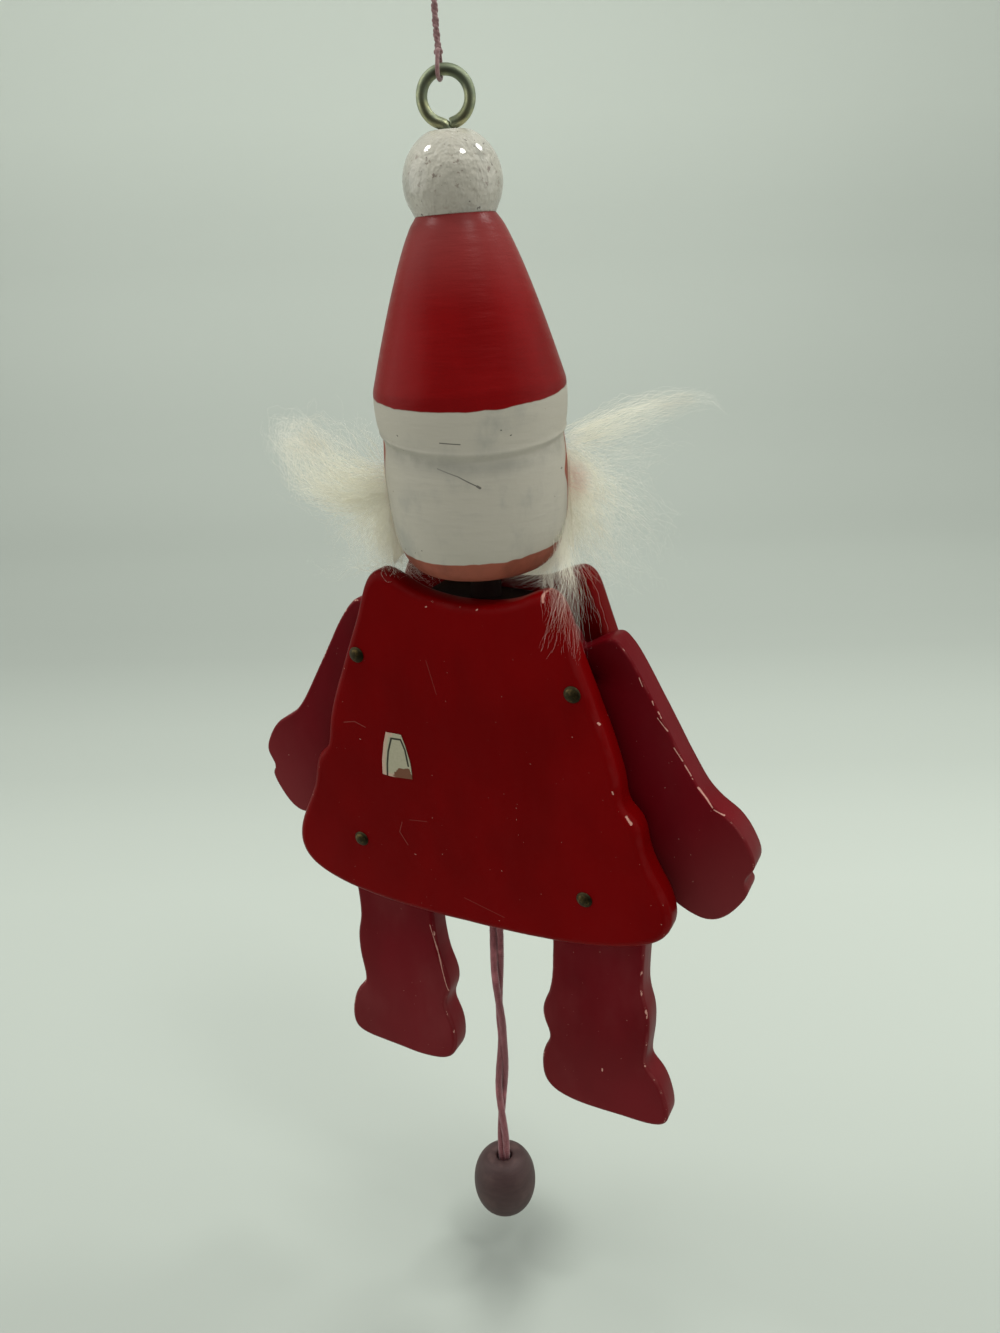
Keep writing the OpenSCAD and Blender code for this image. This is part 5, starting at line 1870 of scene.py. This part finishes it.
def bib_foot(turn):
    """How far down the beard hangs at each turn; it is longest before the coat's middle."""
    aside = math.degrees(HEAD_TURN + turn) - 12
    hang = math.cos(math.radians(90 * aside / 34)) if abs(aside) < 34 else 0.0
    return -79.0 - 16.0 * max(0.0, hang)


core_points, around, rows_up = [], 48, 20
for i in range(around + 1):
    turn = BEARD_REACH * 0.97 * (2 * i / around - 1)
    side = abs(turn / BEARD_REACH) ** 3
    top = -FACE_TOP - FACE_H * (0.60 - 0.5 * side)
    foot_z = bib_foot(turn) * 0.5 + 0.5 * -79.0
    thick = (4.6 + 2.0 * side) * (1 - side) ** 0.5 + 0.5
    # Kept behind the head's own width, so that only loose wool shows beside it
    hidden = (FACE_R + 0.2) / max(0.3, abs(math.sin(turn))) - HEAD_R - 0.1
    thick = max(0.3, min(thick, hidden))
    for j in range(rows_up):
        a = math.tau * j / rows_up
        out = HEAD_R + 0.1 + thick * (0.5 + 0.5 * math.cos(a))
        z = (top + foot_z) / 2 + (top - foot_z) / 2 * math.sin(a)
        p = round_head(turn, out, z)
        p += p.normalized() * 0.6 * noise.noise(p * 0.35)
        core_points.append(p * MM)
core_faces = ring_faces(around + 1, rows_up)
for ring_start in (0, around * rows_up):
    ring = core_points[ring_start:ring_start + rows_up]
    core_points.append(sum(ring, Vector()) / rows_up)
    core_faces += [
        (ring_start + j, ring_start + (j + 1) % rows_up, len(core_points) - 1) for j in range(rows_up)
    ]
core = mesh_of("wool_core", core_points, core_faces)
register(core, "figure", wool, ["beard"])

bib_guides, jaw_guides, moustache_guides = [], [], []
for i in range(25):
    turn = math.radians(-72 + 6 * i)
    side = abs(turn / BEARD_REACH) ** 3
    top, foot_z = -FACE_TOP - FACE_H * (0.56 - 0.45 * side), bib_foot(turn)
    swell = 1 + 0.25 * noise.noise(Vector((i * 0.7, 2, 0)))
    path = [
        round_head(turn, HEAD_R + 0.2, top), round_head(turn, HEAD_R + 4.6 * swell, top - 3.5),
        round_head(turn, HEAD_R + 6.2 * swell, (top * 0.55 + foot_z * 0.45)),
        round_head(turn, HEAD_R + 5.6 * swell, (top * 0.2 + foot_z * 0.8)),
        round_head(turn * 0.9, HEAD_R + 2.6, foot_z),
    ]
    # Beside the ears the wool is looser and lies closer, so it doesn't look combed
    loose = max(0.0, (abs(math.degrees(turn)) - 48) / 24)
    path = [p.lerp(round_head(turn, HEAD_R - 0.5, p.z), 0.38 * loose) for p in path]
    strands = round(190 - 95 * loose)
    guide = (path, strands, 1.5 + 1.0 * loose, 1.7 + 2.6 * loose)
    (bib_guides if abs(turn) < math.radians(43) else jaw_guides).append(guide)
    if abs(turn) < math.radians(60):
        low = [
            round_head(turn, HEAD_R + 3.6, -FACE_TOP - FACE_H * 0.8),
            round_head(turn, HEAD_R + 6.4, (foot_z - 76) / 2),
            round_head(turn * 0.85, HEAD_R + 3.2, foot_z + 0.5),
        ]
        bib_guides.append((low, 70, 1.6, 1.5))
for side in (-1, 1):
    for i in range(5):
        out = FACE_R + 1.2 + 0.3 * i
        path = [
            round_head(math.radians(2 * side), out, -FACE_TOP - FACE_H * 0.50 - 0.5 * i),
            round_head(math.radians(13 * side), out + 4.2, -FACE_TOP - FACE_H * 0.50 - 0.8 * i),
            round_head(math.radians(27 * side), out + 5.4, -FACE_TOP - FACE_H * 0.60 - 1.0 * i),
            round_head(math.radians(40 * side), out + 4.2, -FACE_TOP - FACE_H * 0.80 - 1.0 * i),
        ]
        moustache_guides.append((path, 150, 0.8, 1.2))
lock_of_wool(
    "wool_bib", bib_guides, 61, points=9, thread=0.038, wave=2.6, wave_size=180, frizz=0.5, shortest=0.7,
)
lock_of_wool(
    "wool_jaw", jaw_guides, 71, points=18, thread=0.024, wave=6.0, wave_size=260, frizz=1.0, shortest=0.4,
    swing=1.2,
)
lock_of_wool(
    "wool_moustache", moustache_guides, 83, points=9, thread=0.034, wave=1.6, wave_size=180, frizz=0.35,
    shortest=0.75,
)
